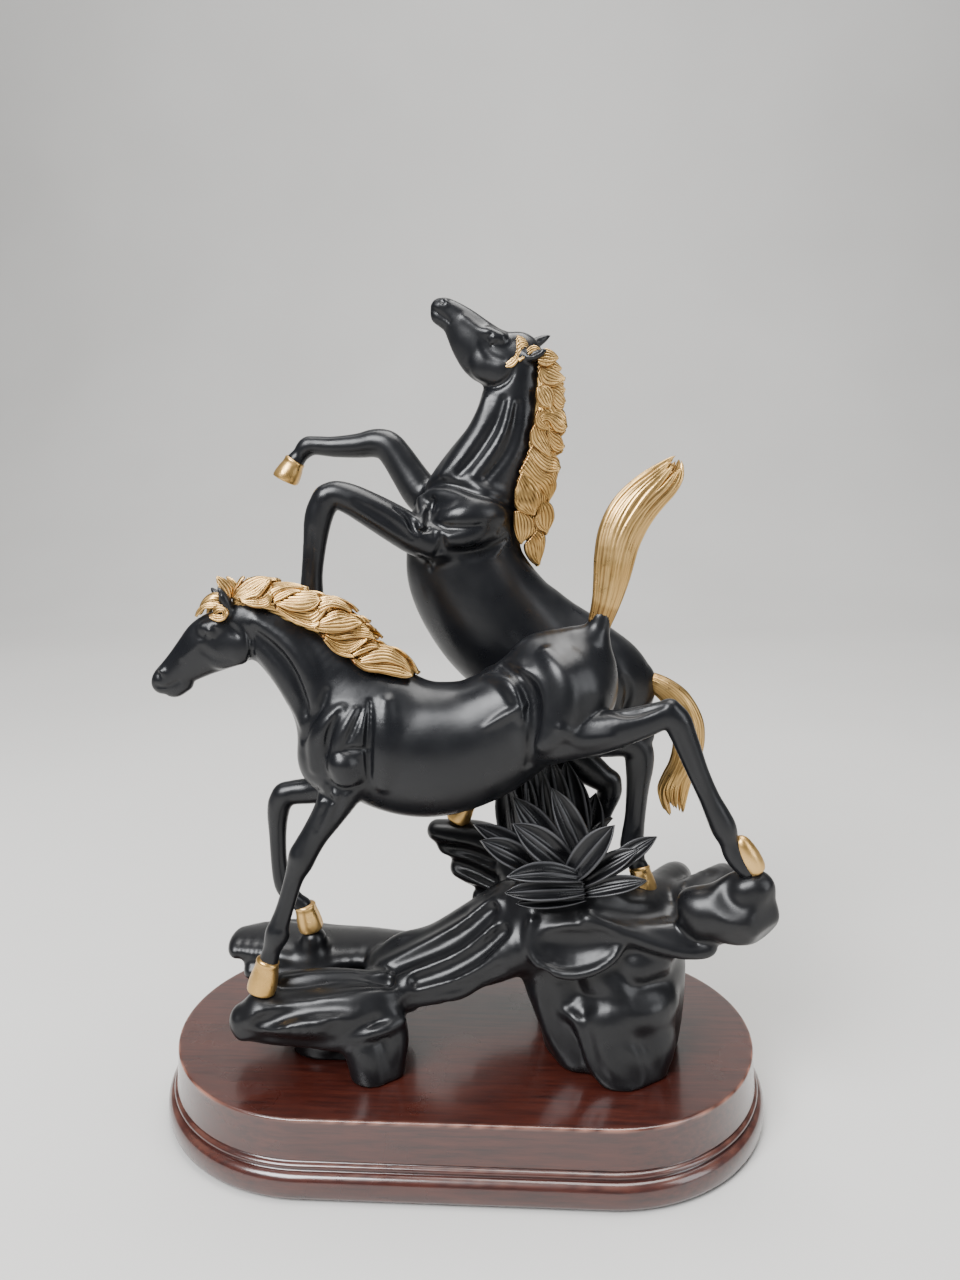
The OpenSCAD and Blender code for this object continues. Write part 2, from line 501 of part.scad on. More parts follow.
plinth();
felt_pads();
plinth_screws();
screw_washers();
rock();
rosette_leaves();
upright_leaves();
front_body();
mane(front_crest, front_sweep, true);  // front_mane
forelock(front_forelock_line, front_crest, front_sweep, true);  // front_forelock
tail(front_tail_line);  // front_tail
color(steel) tail_pin(front_tail_line, pin_d, 0);  // front_tail_pin
hoof(front_hooves[0], true);  // front_hoof_near_fore
hoof(front_hooves[1], false);  // front_hoof_off_fore
hoof(front_hooves[2], true);  // front_hoof_near_hind
hoof(front_hooves[3], true);  // front_hoof_off_hind
pins(front_hooves, [0, 2, 3]);  // front_leg_pins
rear_body();
mane(rear_crest, rear_sweep, false);  // rear_mane
forelock(rear_forelock_line, rear_crest, rear_sweep, false);  // rear_forelock
tail(rear_tail_line);  // rear_tail
color(steel) tail_pin(rear_tail_line, pin_d, 0);  // rear_tail_pin
hoof(rear_hooves[0], false);  // rear_hoof_near_fore
hoof(rear_hooves[1], false);  // rear_hoof_off_fore
hoof(rear_hooves[2], true);  // rear_hoof_near_hind
hoof(rear_hooves[3], true);  // rear_hoof_off_hind
pins(rear_hooves, [2, 3]);  // rear_leg_pins
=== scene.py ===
"""A striding horse before a rearing one, on a rock with pointed leaves and an oval plinth."""
import math

import bpy
import numpy as np
from mathutils import Matrix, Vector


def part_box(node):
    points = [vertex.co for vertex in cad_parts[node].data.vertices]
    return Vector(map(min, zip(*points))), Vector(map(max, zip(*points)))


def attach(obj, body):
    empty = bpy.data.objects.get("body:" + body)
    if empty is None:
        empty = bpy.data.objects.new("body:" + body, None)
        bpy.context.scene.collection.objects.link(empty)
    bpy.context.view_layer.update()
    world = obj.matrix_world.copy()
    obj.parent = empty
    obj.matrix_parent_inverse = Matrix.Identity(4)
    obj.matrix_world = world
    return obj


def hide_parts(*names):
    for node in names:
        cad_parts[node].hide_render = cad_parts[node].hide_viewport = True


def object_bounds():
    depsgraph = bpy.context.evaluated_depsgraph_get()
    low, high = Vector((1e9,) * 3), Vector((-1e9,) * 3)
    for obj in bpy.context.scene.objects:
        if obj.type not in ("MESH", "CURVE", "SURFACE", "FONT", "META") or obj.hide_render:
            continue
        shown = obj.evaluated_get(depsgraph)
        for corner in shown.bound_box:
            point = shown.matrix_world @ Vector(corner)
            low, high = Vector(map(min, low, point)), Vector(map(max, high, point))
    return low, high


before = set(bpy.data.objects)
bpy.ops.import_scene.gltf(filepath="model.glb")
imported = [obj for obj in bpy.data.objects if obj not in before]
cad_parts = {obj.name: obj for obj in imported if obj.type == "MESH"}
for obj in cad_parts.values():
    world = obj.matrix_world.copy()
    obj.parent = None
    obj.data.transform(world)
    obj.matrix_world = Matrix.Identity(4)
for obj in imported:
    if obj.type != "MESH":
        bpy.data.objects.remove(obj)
cad_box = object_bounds()

# The cast group is shaped in design millimetres above the plinth's top, and then set on the frame.
DESIGN_TOP = 224.087
plinth_lo, plinth_hi = (np.array(v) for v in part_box("plinth"))
PLINTH_TOP = float(plinth_hi[2])
UNIT = (cad_box[1][2] - PLINTH_TOP) / DESIGN_TOP
FAR = 9.0
PAD = 5.0
BOTH, NEAR = (-1, 1), (-1,)
rng = np.random.default_rng(7)


def to_world(points):
    return np.asarray(points, float) * UNIT + np.array([0, 0, PLINTH_TOP])


# ------------------------------------------------------------------ materials
def new_material(name, base, rough, metal=0.0, coat=0.0, coat_rough=0.1, specular=0.5):
    mat = bpy.data.materials.new(name)
    mat.use_nodes = True
    shader = mat.node_tree.nodes["Principled BSDF"]
    shader.inputs["Base Color"].default_value = (*base, 1)
    shader.inputs["Roughness"].default_value = rough
    shader.inputs["Metallic"].default_value = metal
    shader.inputs["Coat Weight"].default_value = coat
    shader.inputs["Coat Roughness"].default_value = coat_rough
    shader.inputs["Specular IOR Level"].default_value = specular
    return mat, mat.node_tree, shader


def link(tree, a, b):
    tree.links.new(a, b)


def noise(tree, scale, stretch=(1, 1, 1), detail=4.0, rough=0.5):
    """Noise over the object's own space, in which one unit is a metre."""
    coord = tree.nodes.new("ShaderNodeTexCoord")
    mapping = tree.nodes.new("ShaderNodeMapping")
    mapping.inputs["Scale"].default_value = stretch
    tex = tree.nodes.new("ShaderNodeTexNoise")
    tex.inputs["Scale"].default_value = scale
    tex.inputs["Detail"].default_value = detail
    tex.inputs["Roughness"].default_value = rough
    link(tree, coord.outputs["Object"], mapping.inputs["Vector"])
    link(tree, mapping.outputs["Vector"], tex.inputs["Vector"])
    return tex.outputs["Fac"]


def ramp(tree, fac, stops):
    node = tree.nodes.new("ShaderNodeValToRGB")
    node.color_ramp.elements[0].position, node.color_ramp.elements[0].color = stops[0][0], (*stops[0][1], 1)
    node.color_ramp.elements[1].position, node.color_ramp.elements[1].color = stops[-1][0], (*stops[-1][1], 1)
    for at, colour in stops[1:-1]:
        node.color_ramp.elements.new(at).color = (*colour, 1)
    link(tree, fac, node.inputs["Fac"])
    return node.outputs["Color"]


def span(tree, fac, lo, hi, from_lo=0.0, from_hi=1.0):
    node = tree.nodes.new("ShaderNodeMapRange")
    for key, value in zip(("From Min", "From Max", "To Min", "To Max"), (from_lo, from_hi, lo, hi)):
        node.inputs[key].default_value = value
    link(tree, fac, node.inputs["Value"])
    return node.outputs["Result"]


def mix(tree, fac, a, b, mode="MIX"):
    node = tree.nodes.new("ShaderNodeMix")
    node.data_type, node.blend_type = "RGBA", mode
    for socket, value in ((node.inputs["Factor"], fac), (node.inputs["A"], a), (node.inputs["B"], b)):
        if isinstance(value, bpy.types.NodeSocket):
            link(tree, value, socket)
        elif isinstance(value, tuple):
            socket.default_value = (*value, 1)
        else:
            socket.default_value = value
    return node.outputs["Result"]


def bump(tree, shader, height, strength, distance, under=None):
    node = tree.nodes.new("ShaderNodeBump")
    node.inputs["Strength"].default_value = strength
    node.inputs["Distance"].default_value = distance
    link(tree, height, node.inputs["Height"])
    if under:
        link(tree, under, node.inputs["Normal"])
    link(tree, node.outputs["Normal"], shader.inputs["Normal"])
    return node.outputs["Normal"]


def attribute(tree, name):
    node = tree.nodes.new("ShaderNodeAttribute")
    node.attribute_name = name
    return node.outputs["Fac"]


def black_paint(name, base=(0.0045, 0.0048, 0.006), rough=0.30):
    mat, tree, shader = new_material(name, base, rough, specular=0.36)
    blotch = noise(tree, 55, detail=5)
    colour = mix(tree, span(tree, blotch, 0, 0.5, 0.35, 0.75), base, (0.009, 0.0095, 0.011))
    # Pale grey along leaf rims and midribs, set by a mesh attribute: partly rubbed wear, partly a painted
    # highlight.
    wear_and_highlight = mix(tree, attribute(tree, "wear_and_highlight"), colour, (0.10, 0.10, 0.105))
    link(tree, wear_and_highlight, shader.inputs["Base Color"])
    link(tree, span(tree, noise(tree, 130, detail=6), rough - 0.05, rough + 0.07, 0.3, 0.7),
         shader.inputs["Roughness"])
    soft = bump(tree, shader, noise(tree, 160, detail=3), 0.10, 0.0006)
    bump(tree, shader, noise(tree, 2600, detail=3), 0.10, 0.00008, soft)
    return mat


def gold_paint(name, rough=0.31):
    base = (0.70, 0.45, 0.17)
    mat, tree, shader = new_material(name, base, rough, metal=0.9)
    tone = mix(tree, span(tree, noise(tree, 90, detail=5), 0, 1, 0.35, 0.7), base, (0.56, 0.34, 0.11))
    # Painted shade: dark brown where the mesh attribute marks grooves, roots and the hooves' soles and
    # crowns.
    deep = mix(tree, attribute(tree, "crevice_shade"), tone, (0.085, 0.032, 0.008))
    link(tree, deep, shader.inputs["Base Color"])
    link(tree, span(tree, noise(tree, 300, detail=5), rough - 0.07, rough + 0.1, 0.3, 0.7),
         shader.inputs["Roughness"])
    soft = bump(tree, shader, noise(tree, 420, detail=4), 0.22, 0.0004)
    bump(tree, shader, noise(tree, 3200, detail=2), 0.12, 0.00008, soft)
    return mat


def lacquered_wood():
    base = (0.042, 0.0085, 0.0055)
    mat, tree, shader = new_material("LacqueredWood", base, 0.3, coat=0.9, coat_rough=0.12)
    grain = noise(tree, 60, (1, 14, 14), detail=8, rough=0.62)
    bands = ramp(tree, grain, [(0.32, (0.020, 0.0045, 0.0035)), (0.5, (0.041, 0.0085, 0.0055)),
                               (0.7, (0.060, 0.013, 0.0075))])
    pores = noise(tree, 210, (1, 22, 22), detail=3)
    colour = mix(tree, span(tree, pores, 0, 0.75, 0.6, 0.72), bands, (0.012, 0.003, 0.003))
    # Pale line along the plinth's edges, set by a mesh attribute: partly rubbed wear, partly a painted
    # highlight.
    wear_and_highlight = mix(tree, attribute(tree, "wear_and_highlight"), colour, (0.30, 0.14, 0.10))
    link(tree, wear_and_highlight, shader.inputs["Base Color"])
    link(tree, span(tree, noise(tree, 45, detail=4), 0.24, 0.36, 0.3, 0.7), shader.inputs["Roughness"])
    fine = bump(tree, shader, pores, 0.05, 0.0002)
    wavy = tree.nodes.new("ShaderNodeBump")
    wavy.inputs["Strength"].default_value = 0.12
    wavy.inputs["Distance"].default_value = 0.0006
    link(tree, noise(tree, 70, detail=2), wavy.inputs["Height"])
    link(tree, fine, wavy.inputs["Normal"])
    link(tree, wavy.outputs["Normal"], shader.inputs["Coat Normal"])
    return mat


def felt():
    mat, tree, shader = new_material("Felt", (0.02, 0.045, 0.028), 0.95, specular=0.2)
    shader.inputs["Sheen Weight"].default_value = 0.4
    fibre = noise(tree, 2400, detail=6, rough=0.7)
    link(tree, ramp(tree, fibre, [(0.3, (0.010, 0.025, 0.015)), (0.7, (0.035, 0.075, 0.045))]),
         shader.inputs["Base Color"])
    bump(tree, shader, fibre, 0.6, 0.0003)
    return mat


def steel():
    mat, tree, shader = new_material("ZincPlatedSteel", (0.56, 0.57, 0.58), 0.32, metal=1.0)
    streak = noise(tree, 500, (1, 1, 0.08), detail=4)
    link(tree, ramp(tree, streak, [(0.35, (0.42, 0.43, 0.44)), (0.65, (0.66, 0.66, 0.65))]),
         shader.inputs["Base Color"])
    link(tree, span(tree, streak, 0.25, 0.45, 0.3, 0.7), shader.inputs["Roughness"])
    bump(tree, shader, streak, 0.15, 0.00015)
    return mat


BLACK = black_paint("BlackCast")
ROCK_BLACK = black_paint("BlackRock", (0.0052, 0.0052, 0.006), 0.31)
LEAF_BLACK = black_paint("BlackLeaves", (0.0045, 0.0045, 0.0052), 0.28)
GOLD = gold_paint("GoldPaint")
WOOD = lacquered_wood()
FELT = felt()
STEEL = steel()


# ------------------------------------------------------------------ meshes
def make_piece(name, verts, faces, mat, slot, nodes, attributes=(), smooth=True, place=True):
    """One mesh object on the frame. verts are in design millimetres if place is true."""
    verts = to_world(verts) if place else np.asarray(verts, float)
    mesh = bpy.data.meshes.new(name)
    if isinstance(faces, np.ndarray):
        mesh.vertices.add(len(verts))
        mesh.vertices.foreach_set("co", verts.astype(np.float32).ravel())
        mesh.loops.add(faces.size)
        mesh.loops.foreach_set("vertex_index", faces.astype(np.int32).ravel())
        mesh.polygons.add(len(faces))
        mesh.polygons.foreach_set("loop_start", np.arange(0, faces.size, faces.shape[1], dtype=np.int32))
    else:
        mesh.from_pydata(verts.tolist(), [], faces)
    mesh.update(calc_edges=True)
    mesh.validate()
    if smooth:
        mesh.polygons.foreach_set("use_smooth", np.ones(len(mesh.polygons), bool))
    for key, values in attributes:
        layer = mesh.attributes.new(key, "FLOAT", "POINT")
        layer.data.foreach_set("value", np.asarray(values, np.float32))
    mesh.materials.append(mat)
    obj = bpy.data.objects.new(name, mesh)
    bpy.context.scene.collection.objects.link(obj)
    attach(obj, "root")
    if nodes:
        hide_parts(*nodes)
    return obj


def curve_through(rows, steps):
    """A smooth curve through the rows, with steps points for each stretch."""
    rows = np.asarray(rows, float)
    ends = np.vstack([2 * rows[0] - rows[1], rows, 2 * rows[-1] - rows[-2]])
    out = []
    for i in range(len(rows) - 1):
        p0, p1, p2, p3 = ends[i:i + 4]
        for t in np.arange(steps) / steps:
            out.append(0.5 * (2 * p1 + (p2 - p0) * t + (2 * p0 - 5 * p1 + 4 * p2 - p3) * t ** 2
                              + (3 * p1 - p0 - 3 * p2 + p3) * t ** 3))
    out.append(rows[-1])
    return np.array(out)


def strand_edge(y_start, y_end, *xz):
    """Points through pairs of x and z, while y runs evenly from end to end, in tenths of a millimetre."""
    ys = np.linspace(y_start, y_end, len(xz) // 2).tolist()
    return [(x, round(y, 1), z) for x, y, z in zip(xz[::2], ys, xz[1::2])]


class Clay:
    """A block of distances, in design millimetres, that shapes are added to and cut from."""

    def __init__(self, lo, hi, cell):
        self.lo, self.cell = np.array(lo, float), cell
        self.n = np.ceil((np.array(hi) - self.lo) / cell).astype(int) + 1
        self.d = np.full(self.n, FAR, np.float32)

    def window(self, lo, hi):
        a = np.clip(((lo - self.lo) / self.cell).astype(int), 0, self.n - 1)
        b = np.clip(((hi - self.lo) / self.cell).astype(int) + 2, a + 1, self.n)
        return a, b

    def field(self, rows):
        """The distance to a chain of tapering links. A row is x, y, z, radius, and width over height."""
        reach = rows[:, 3:4] * np.maximum(rows[:, 4:5], 1) + PAD
        a, b = self.window((rows[:, :3] - reach).min(0), (rows[:, :3] + reach).max(0))
        f = np.full(b - a, FAR, np.float32)
        for p, q, ra, rb in zip(rows, rows[1:], reach, reach[1:]):
            c, e = self.window(np.minimum(p[:3] - ra, q[:3] - rb), np.maximum(p[:3] + ra, q[:3] + rb))
            x, y, z = np.ogrid[c[0]:e[0], c[1]:e[1], c[2]:e[2]]
            x, y, z = ((v * self.cell + self.lo[i] - p[i]).astype(np.float32) for i,
                       v in enumerate((x, y, z)))
            s = (q[:3] - p[:3]).astype(np.float32)
            t = np.clip((x * s[0] + y * s[1] + z * s[2]) / max(float(s @ s), 1e-6), 0, 1)
            x, y, z = x - s[0] * t, y - s[1] * t, z - s[2] * t
            w = p[4] + (q[4] - p[4]) * t
            m = np.sqrt(x * x + (y / w) ** 2 + z * z) + 1e-6
            g = np.sqrt(x * x + (y / (w * w)) ** 2 + z * z) + 1e-6
            dist = (m - (p[3] + (q[3] - p[3]) * t)) * m / g
            spot = tuple(slice(c[i] - a[i], e[i] - a[i]) for i in range(3))
            f[spot] = np.minimum(f[spot], dist)
        return tuple(slice(a[i], b[i]) for i in range(3)), f

    def rows(self, rows, steps):
        rows = np.array([list(r) + [1.0] * (5 - len(r)) for r in rows], float)
        if len(rows) == 1:
            rows = np.vstack([rows, rows + [1e-3, 0, 0, 0, 0]])
        return curve_through(rows, steps) if steps > 1 and len(rows) > 2 else rows

    def add(self, rows, k=1.0, steps=4):
        spot, f = self.field(self.rows(rows, steps))
        d = self.d[spot]
        h = np.maximum(k - np.abs(d - f), 0) / k
        self.d[spot] = np.minimum(d, f) - h * h * (k / 4)

    def cut(self, rows, k=0.6, steps=4):
        spot, f = self.field(self.rows(rows, steps))
        d = self.d[spot]
        h = np.maximum(k - np.abs(d + f), 0) / k
        self.d[spot] = np.maximum(d, -f) + h * h * (k / 4)

    def skin_at(self, x, z, side):
        """The outermost surface point on one side at x, z, and its outward normal."""
        u, w = (x - self.lo[0]) / self.cell, (z - self.lo[2]) / self.cell
        i, k = int(u), int(w)
        if not (0 < i < self.n[0] - 2 and 0 < k < self.n[2] - 2):
            return None
        u, w = u - i, w - k
        block = self.d[i - 1:i + 3, :, k - 1:k + 3]
        rows = block[:-1] * (1 - u) + block[1:] * u
        grid = rows[:, :, :-1] * (1 - w) + rows[:, :, 1:] * w
        col = grid[1, :, 1]
        inside = np.nonzero(col < 0)[0]
        if len(inside) < 2:
            return None
        j = inside[0] if side < 0 else inside[-1]
        out = min(max(j + side, 0), self.n[1] - 1)
        t = col[j] / (col[j] - col[out] + 1e-9)
        y = self.lo[1] + self.cell * (j + side * t)
        j = min(max(j, 1), self.n[1] - 2)
        g = np.array([grid[2, j, 1] - grid[0, j, 1], grid[1, j + 1, 1] - grid[1, j - 1, 1],
                      grid[1, j, 2] - grid[1, j, 0]], float)
        return np.array([x, y, z]), g / max(np.linalg.norm(g), 1e-6)

    def mark(self, path, r, lift, k=0.8, sides=BOTH, taper=0.25):
        """A welt (lift above 0) or a crease (below 0) that follows the skin through pairs of x and z."""
        path = np.reshape(path, (-1, 2))
        steps, straight_steps, blur_turns = 6, 9, 4
        line = curve_through(path, steps) if len(path) > 2 else np.linspace(path[0], path[-1], straight_steps)
        for side in sides:
            hits = [hit for hit in (self.skin_at(x, z, side) for x, z in line) if hit is not None]
            if len(hits) < 3:
                continue
            points, normals = (np.array(v) for v in zip(*hits))
            for _ in range(blur_turns):
                for v in (points, normals):
                    v[1:-1] = (v[:-2] + 2 * v[1:-1] + v[2:]) / 4
            normals /= np.linalg.norm(normals, axis=1)[:, None]
            swell = taper + (1 - taper) * np.sin(np.pi * np.arange(len(hits)) / (len(hits) - 1))
            deep = (lift - r) * swell if lift > 0 else (r + lift) * swell
            rows = np.column_stack([points + normals * deep[:, None], r * swell, np.ones(len(hits))])
            (self.add if lift > 0 else self.cut)(rows, k, 1)

    def skin(self, smooth=2, relax=0.45):
        """The zero surface as vertices in design millimetres and quads."""
        d = self.d
        inside = d < 0
        edge = [inside[i:self.n[0] - 1 + i, j:self.n[1] - 1 + j, k:self.n[2] - 1 + k].astype(np.int8)
                for i in (0, 1) for j in (0, 1) for k in (0, 1)]
        total = sum(edge)
        cells = np.argwhere((total > 0) & (total < 8))
        index = np.full(total.shape, -1, np.int32)
        index[tuple(cells.T)] = np.arange(len(cells))
        place, count = np.zeros((len(cells), 3)), np.zeros(len(cells))
        for axis in range(3):
            step = np.eye(3, dtype=int)[axis]
            others = [v for v in range(3) if v != axis]
            for i in (0, 1):
                for j in (0, 1):
                    start = np.zeros(3, int)
                    start[others[0]], start[others[1]] = i, j
                    a = d[tuple((cells + start).T)]
                    b = d[tuple((cells + start + step).T)]
                    hit = (a < 0) != (b < 0)
                    t = np.where(hit, a / np.where(hit, a - b, 1), 0)
                    place[hit] += (start + step * t[:, None])[hit]
                    count += hit
        verts = cells + place / count[:, None]
        quads = []
        for axis in range(3):
            u, v = (axis + 1) % 3, (axis + 2) % 3
            lo = [slice(None)] * 3
            hi = [slice(None)] * 3
            lo[axis], hi[axis] = slice(None, -1), slice(1, None)
            change = inside[tuple(lo)] != inside[tuple(hi)]
            at = np.argwhere(change)
            at = at[(at[:, u] > 0) & (at[:, v] > 0) & (at[:, u] < self.n[u] - 1) & (at[:, v] < self.n[v] - 1)]
            du, dv = np.eye(3, dtype=int)[u], np.eye(3, dtype=int)[v]
            quad = np.stack([index[tuple((at - s).T)] for s in (du + dv, dv, 0 * du, du)], 1)
            out = inside[tuple(at.T)]
            quads.append(np.where(out[:, None], quad, quad[:, ::-1]))
        quads = np.vstack(quads)
        ends = np.hstack([quads, np.roll(quads, -1, 1)]).reshape(-1, 2, 4).transpose(0, 2, 1).reshape(-1, 2)
        for _ in range(smooth):
            total = np.bincount(ends[:, 0], minlength=len(verts))
            mean = np.stack([np.bincount(ends[:, 0], verts[ends[:, 1], a], len(verts)) for a in range(3)], 1)
            verts = verts + relax * (mean / np.maximum(total, 1)[:, None] - verts)
        return verts * self.cell + self.lo, quads


def tube_faces(rings, sides):
    faces = []
    for i in range(rings - 1):
        for k in range(sides):
            a, b = i * sides + k, i * sides + (k + 1) % sides
            faces.append((a, b, b + sides, a + sides))
    return faces


def unit(v):
    return v / max(np.linalg.norm(v), 1e-9)


class Hair:
    """Many tapering, grooved locks of hair in one mesh."""

    def __init__(self):
        self.verts, self.faces, self.crevice_shade = [], [], []

    def lock(self, path, r, out, flat=0.62, grooves=5, sides=30, rings=22, blunt=0.35, root=0.5, twist=0.0,
             depth=0.20):
        """path is a row of points; out points away from the body; r is the greatest half width."""
        full_at, taper_from, groove_power, fine_depth, root_shade = 0.3, 0.42, 1.6, 0.035, 0.35
        line = curve_through(path, 8)
        s = np.concatenate([[0], np.cumsum(np.linalg.norm(np.diff(line, axis=0), axis=1))])
        t = np.linspace(0, 1, rings)
        pts = np.stack([np.interp(t * s[-1], s, line[:, a]) for a in range(3)], 1)
        theta = 2 * np.pi * np.arange(sides) / sides
        base = len(self.verts) and sum(len(v) for v in self.verts)
        phase = rng.uniform(0, 2 * np.pi)
        ring_list, dark = [], []
        for i, u in enumerate(t):
            tangent = unit(pts[min(i + 1, rings - 1)] - pts[max(i - 1, 0)])
            side = unit(np.cross(tangent, out))
            up = np.cross(side, tangent)
            turn = twist * u
            c, d = math.cos(turn), math.sin(turn)
            side, up = side * c + up * d, up * c - side * d
            swell = min(1.0, root + (1 - root) * (u / full_at)) if u < full_at else 1.0
            tip = max(0.0, (1 - u) / (1 - taper_from)) if u > taper_from else 1.0
            width = r * swell * (tip ** blunt if u > taper_from else 1.0)
            wave = np.cos(grooves * theta + phase + 1.2 * math.sin(3 * u + phase))
            groove = depth * (1 - np.abs(wave)) ** groove_power * min(1.0, 4 * (1 - u) + 0.2)
            fine = fine_depth * np.cos((2 * grooves + 3) * theta + 2 * phase)
            rad = width * (1 - groove + fine)
            ring_list.append(pts[i] + np.outer(rad * np.cos(theta),
                                               side) + np.outer(flat * rad * np.sin(theta), up))
            # Painted shade in the grooves and at the root where the lock meets the body.
            dark.append(np.clip(groove / max(depth, 1e-6) * 0.85 + (root_shade if u < 0.12 else 0), 0, 1))
        verts = np.vstack(ring_list)
        faces = [tuple(base + v for v in f) for f in tube_faces(rings, sides)]
        self.faces += faces
        self.faces.append(tuple(base + sides - 1 - k for k in range(sides)))
        self.faces.append(tuple(base + (rings - 1) * sides + k for k in range(sides)))
        self.verts.append(verts)
        self.crevice_shade.append(np.concatenate(dark))

    def bunch(self, upper, lower, puff, side=1, rings=26, sides=60):
        """A bunch of strands between two edges, ending in one point. side is -1 for a mirrored one."""
        belly, pitch, groove_power, groove_deep, shade = 0.22, 1.0, 1.25, 0.5, 1.15
        edges = []
        for v in (upper, lower):
            v = curve_through(v, 8)
            s = np.concatenate([[0], np.cumsum(np.linalg.norm(np.diff(v, axis=0), axis=1))])
            t = np.linspace(0, 1, rings)
            edges.append(np.stack([np.interp(t * s[-1], s, v[:, i]) for i in range(3)], 1))
        a, b = edges
        centre, half = (a + b) / 2, (a - b) / 2
        t = np.linspace(0, 1, rings)
        half = half * (1 + belly * np.sin(np.pi * t) ** 0.5)[:, None]
        size = np.linalg.norm(half, axis=1)
        theta = 2 * np.pi * np.arange(sides) / sides
        across = np.cos(theta)
        base = sum(len(v) for v in self.verts)
        phase = rng.uniform(0, 2 * np.pi)
        top = size.max()
        strands = max(2, round(2 * top / pitch))
        ring_list, dark = [], []
        for i in range(rings):
            tangent = unit(centre[min(i + 1, rings - 1)] - centre[max(i - 1, 0)])
            out = unit(np.cross(half[i], tangent)) if size[i] > 1e-6 else np.array([0, -1, 0])
            out = out if out[1] * side < 0 else -out
            sway = 0.09 * math.sin(4 * t[i] + phase) + 0.05 * np.sin(3 * across + phase)
            wave = np.abs(np.cos(strands * np.pi / 2 * (across + sway) + phase))
            groove = (1 - wave) ** groove_power
            fade = min(1.0, 5 * (1 - t[i]) + 0.15)
            rise = 0.8 + 0.2 * min(1, t[i] / 0.2)
            thick = puff * 0.5 * (size[i] + 0.6 * top) * rise
            body = np.sign(np.sin(theta)) * np.abs(np.sin(theta)) ** 0.75
            lift = body * (thick - groove_deep * groove * fade * np.minimum(1, thick))
            ring_list.append(centre[i] + np.outer(across, half[i]) + np.outer(lift, out))
            # Painted shade in the grooves between strands and at the root of the bunch.
            dark.append(np.clip(shade * groove * fade + (0.5 * (1 - t[i] / 0.08) if t[i] < 0.08 else 0), 0,
                                1))
        self.faces += [tuple(base + v for v in f) for f in tube_faces(rings, sides)]
        self.faces.append(tuple(base + sides - 1 - k for k in range(sides)))
        self.faces.append(tuple(base + (rings - 1) * sides + k for k in range(sides)))
        self.verts.append(np.vstack(ring_list))
        self.crevice_shade.append(np.concatenate(dark))

    def build(self, name, node):
        return make_piece(name, np.vstack(self.verts), self.faces, GOLD, "gilding", [node],
                          [("crevice_shade", np.concatenate(self.crevice_shade))])


# ------------------------------------------------------------------ the striding horse
def leg(clay, rows, k, flat=0.92):
    clay.add([[*r[:4], r[4] if len(r) > 4 else flat] for r in rows], k)


def eye(clay, x, z, facing, size=1.55):
    """A lidded eye on each side; facing is the way that the face points."""
    for side in (-1, 1):
        hit = clay.skin_at(x, z, side)
        if hit is None:
            continue
        p, n = hit
        f = np.array([facing[0], 0, facing[1]])
        up = np.array([-facing[1], 0, facing[0]]) * (1 if facing[0] < 0 else -1)
        up = -up if up[2] < 0 else up
        clay.cut([[*(p + n * 0.5), size * 1.15, 1]], 0.5, 1)
        clay.add([[*(p - n * (size * 0.62)), size, 1]], 0.12, 1)
        for lift, r, reach in ((0.98, 0.42, 1.35), (-0.98, 0.34, 1.2)):
            arc = []
            for a in np.linspace(-1.25, 1.25, 9):
                q = p + f * size * reach * math.sin(a) + up * size * lift * math.cos(a) * 0.82
                arc.append([*(q - n * (0.45 * abs(math.sin(a)) + 0.10)), r * (1.1 - 0.3 * abs(math.sin(a))),
                            1])
            clay.add(arc, 0.35, 1)


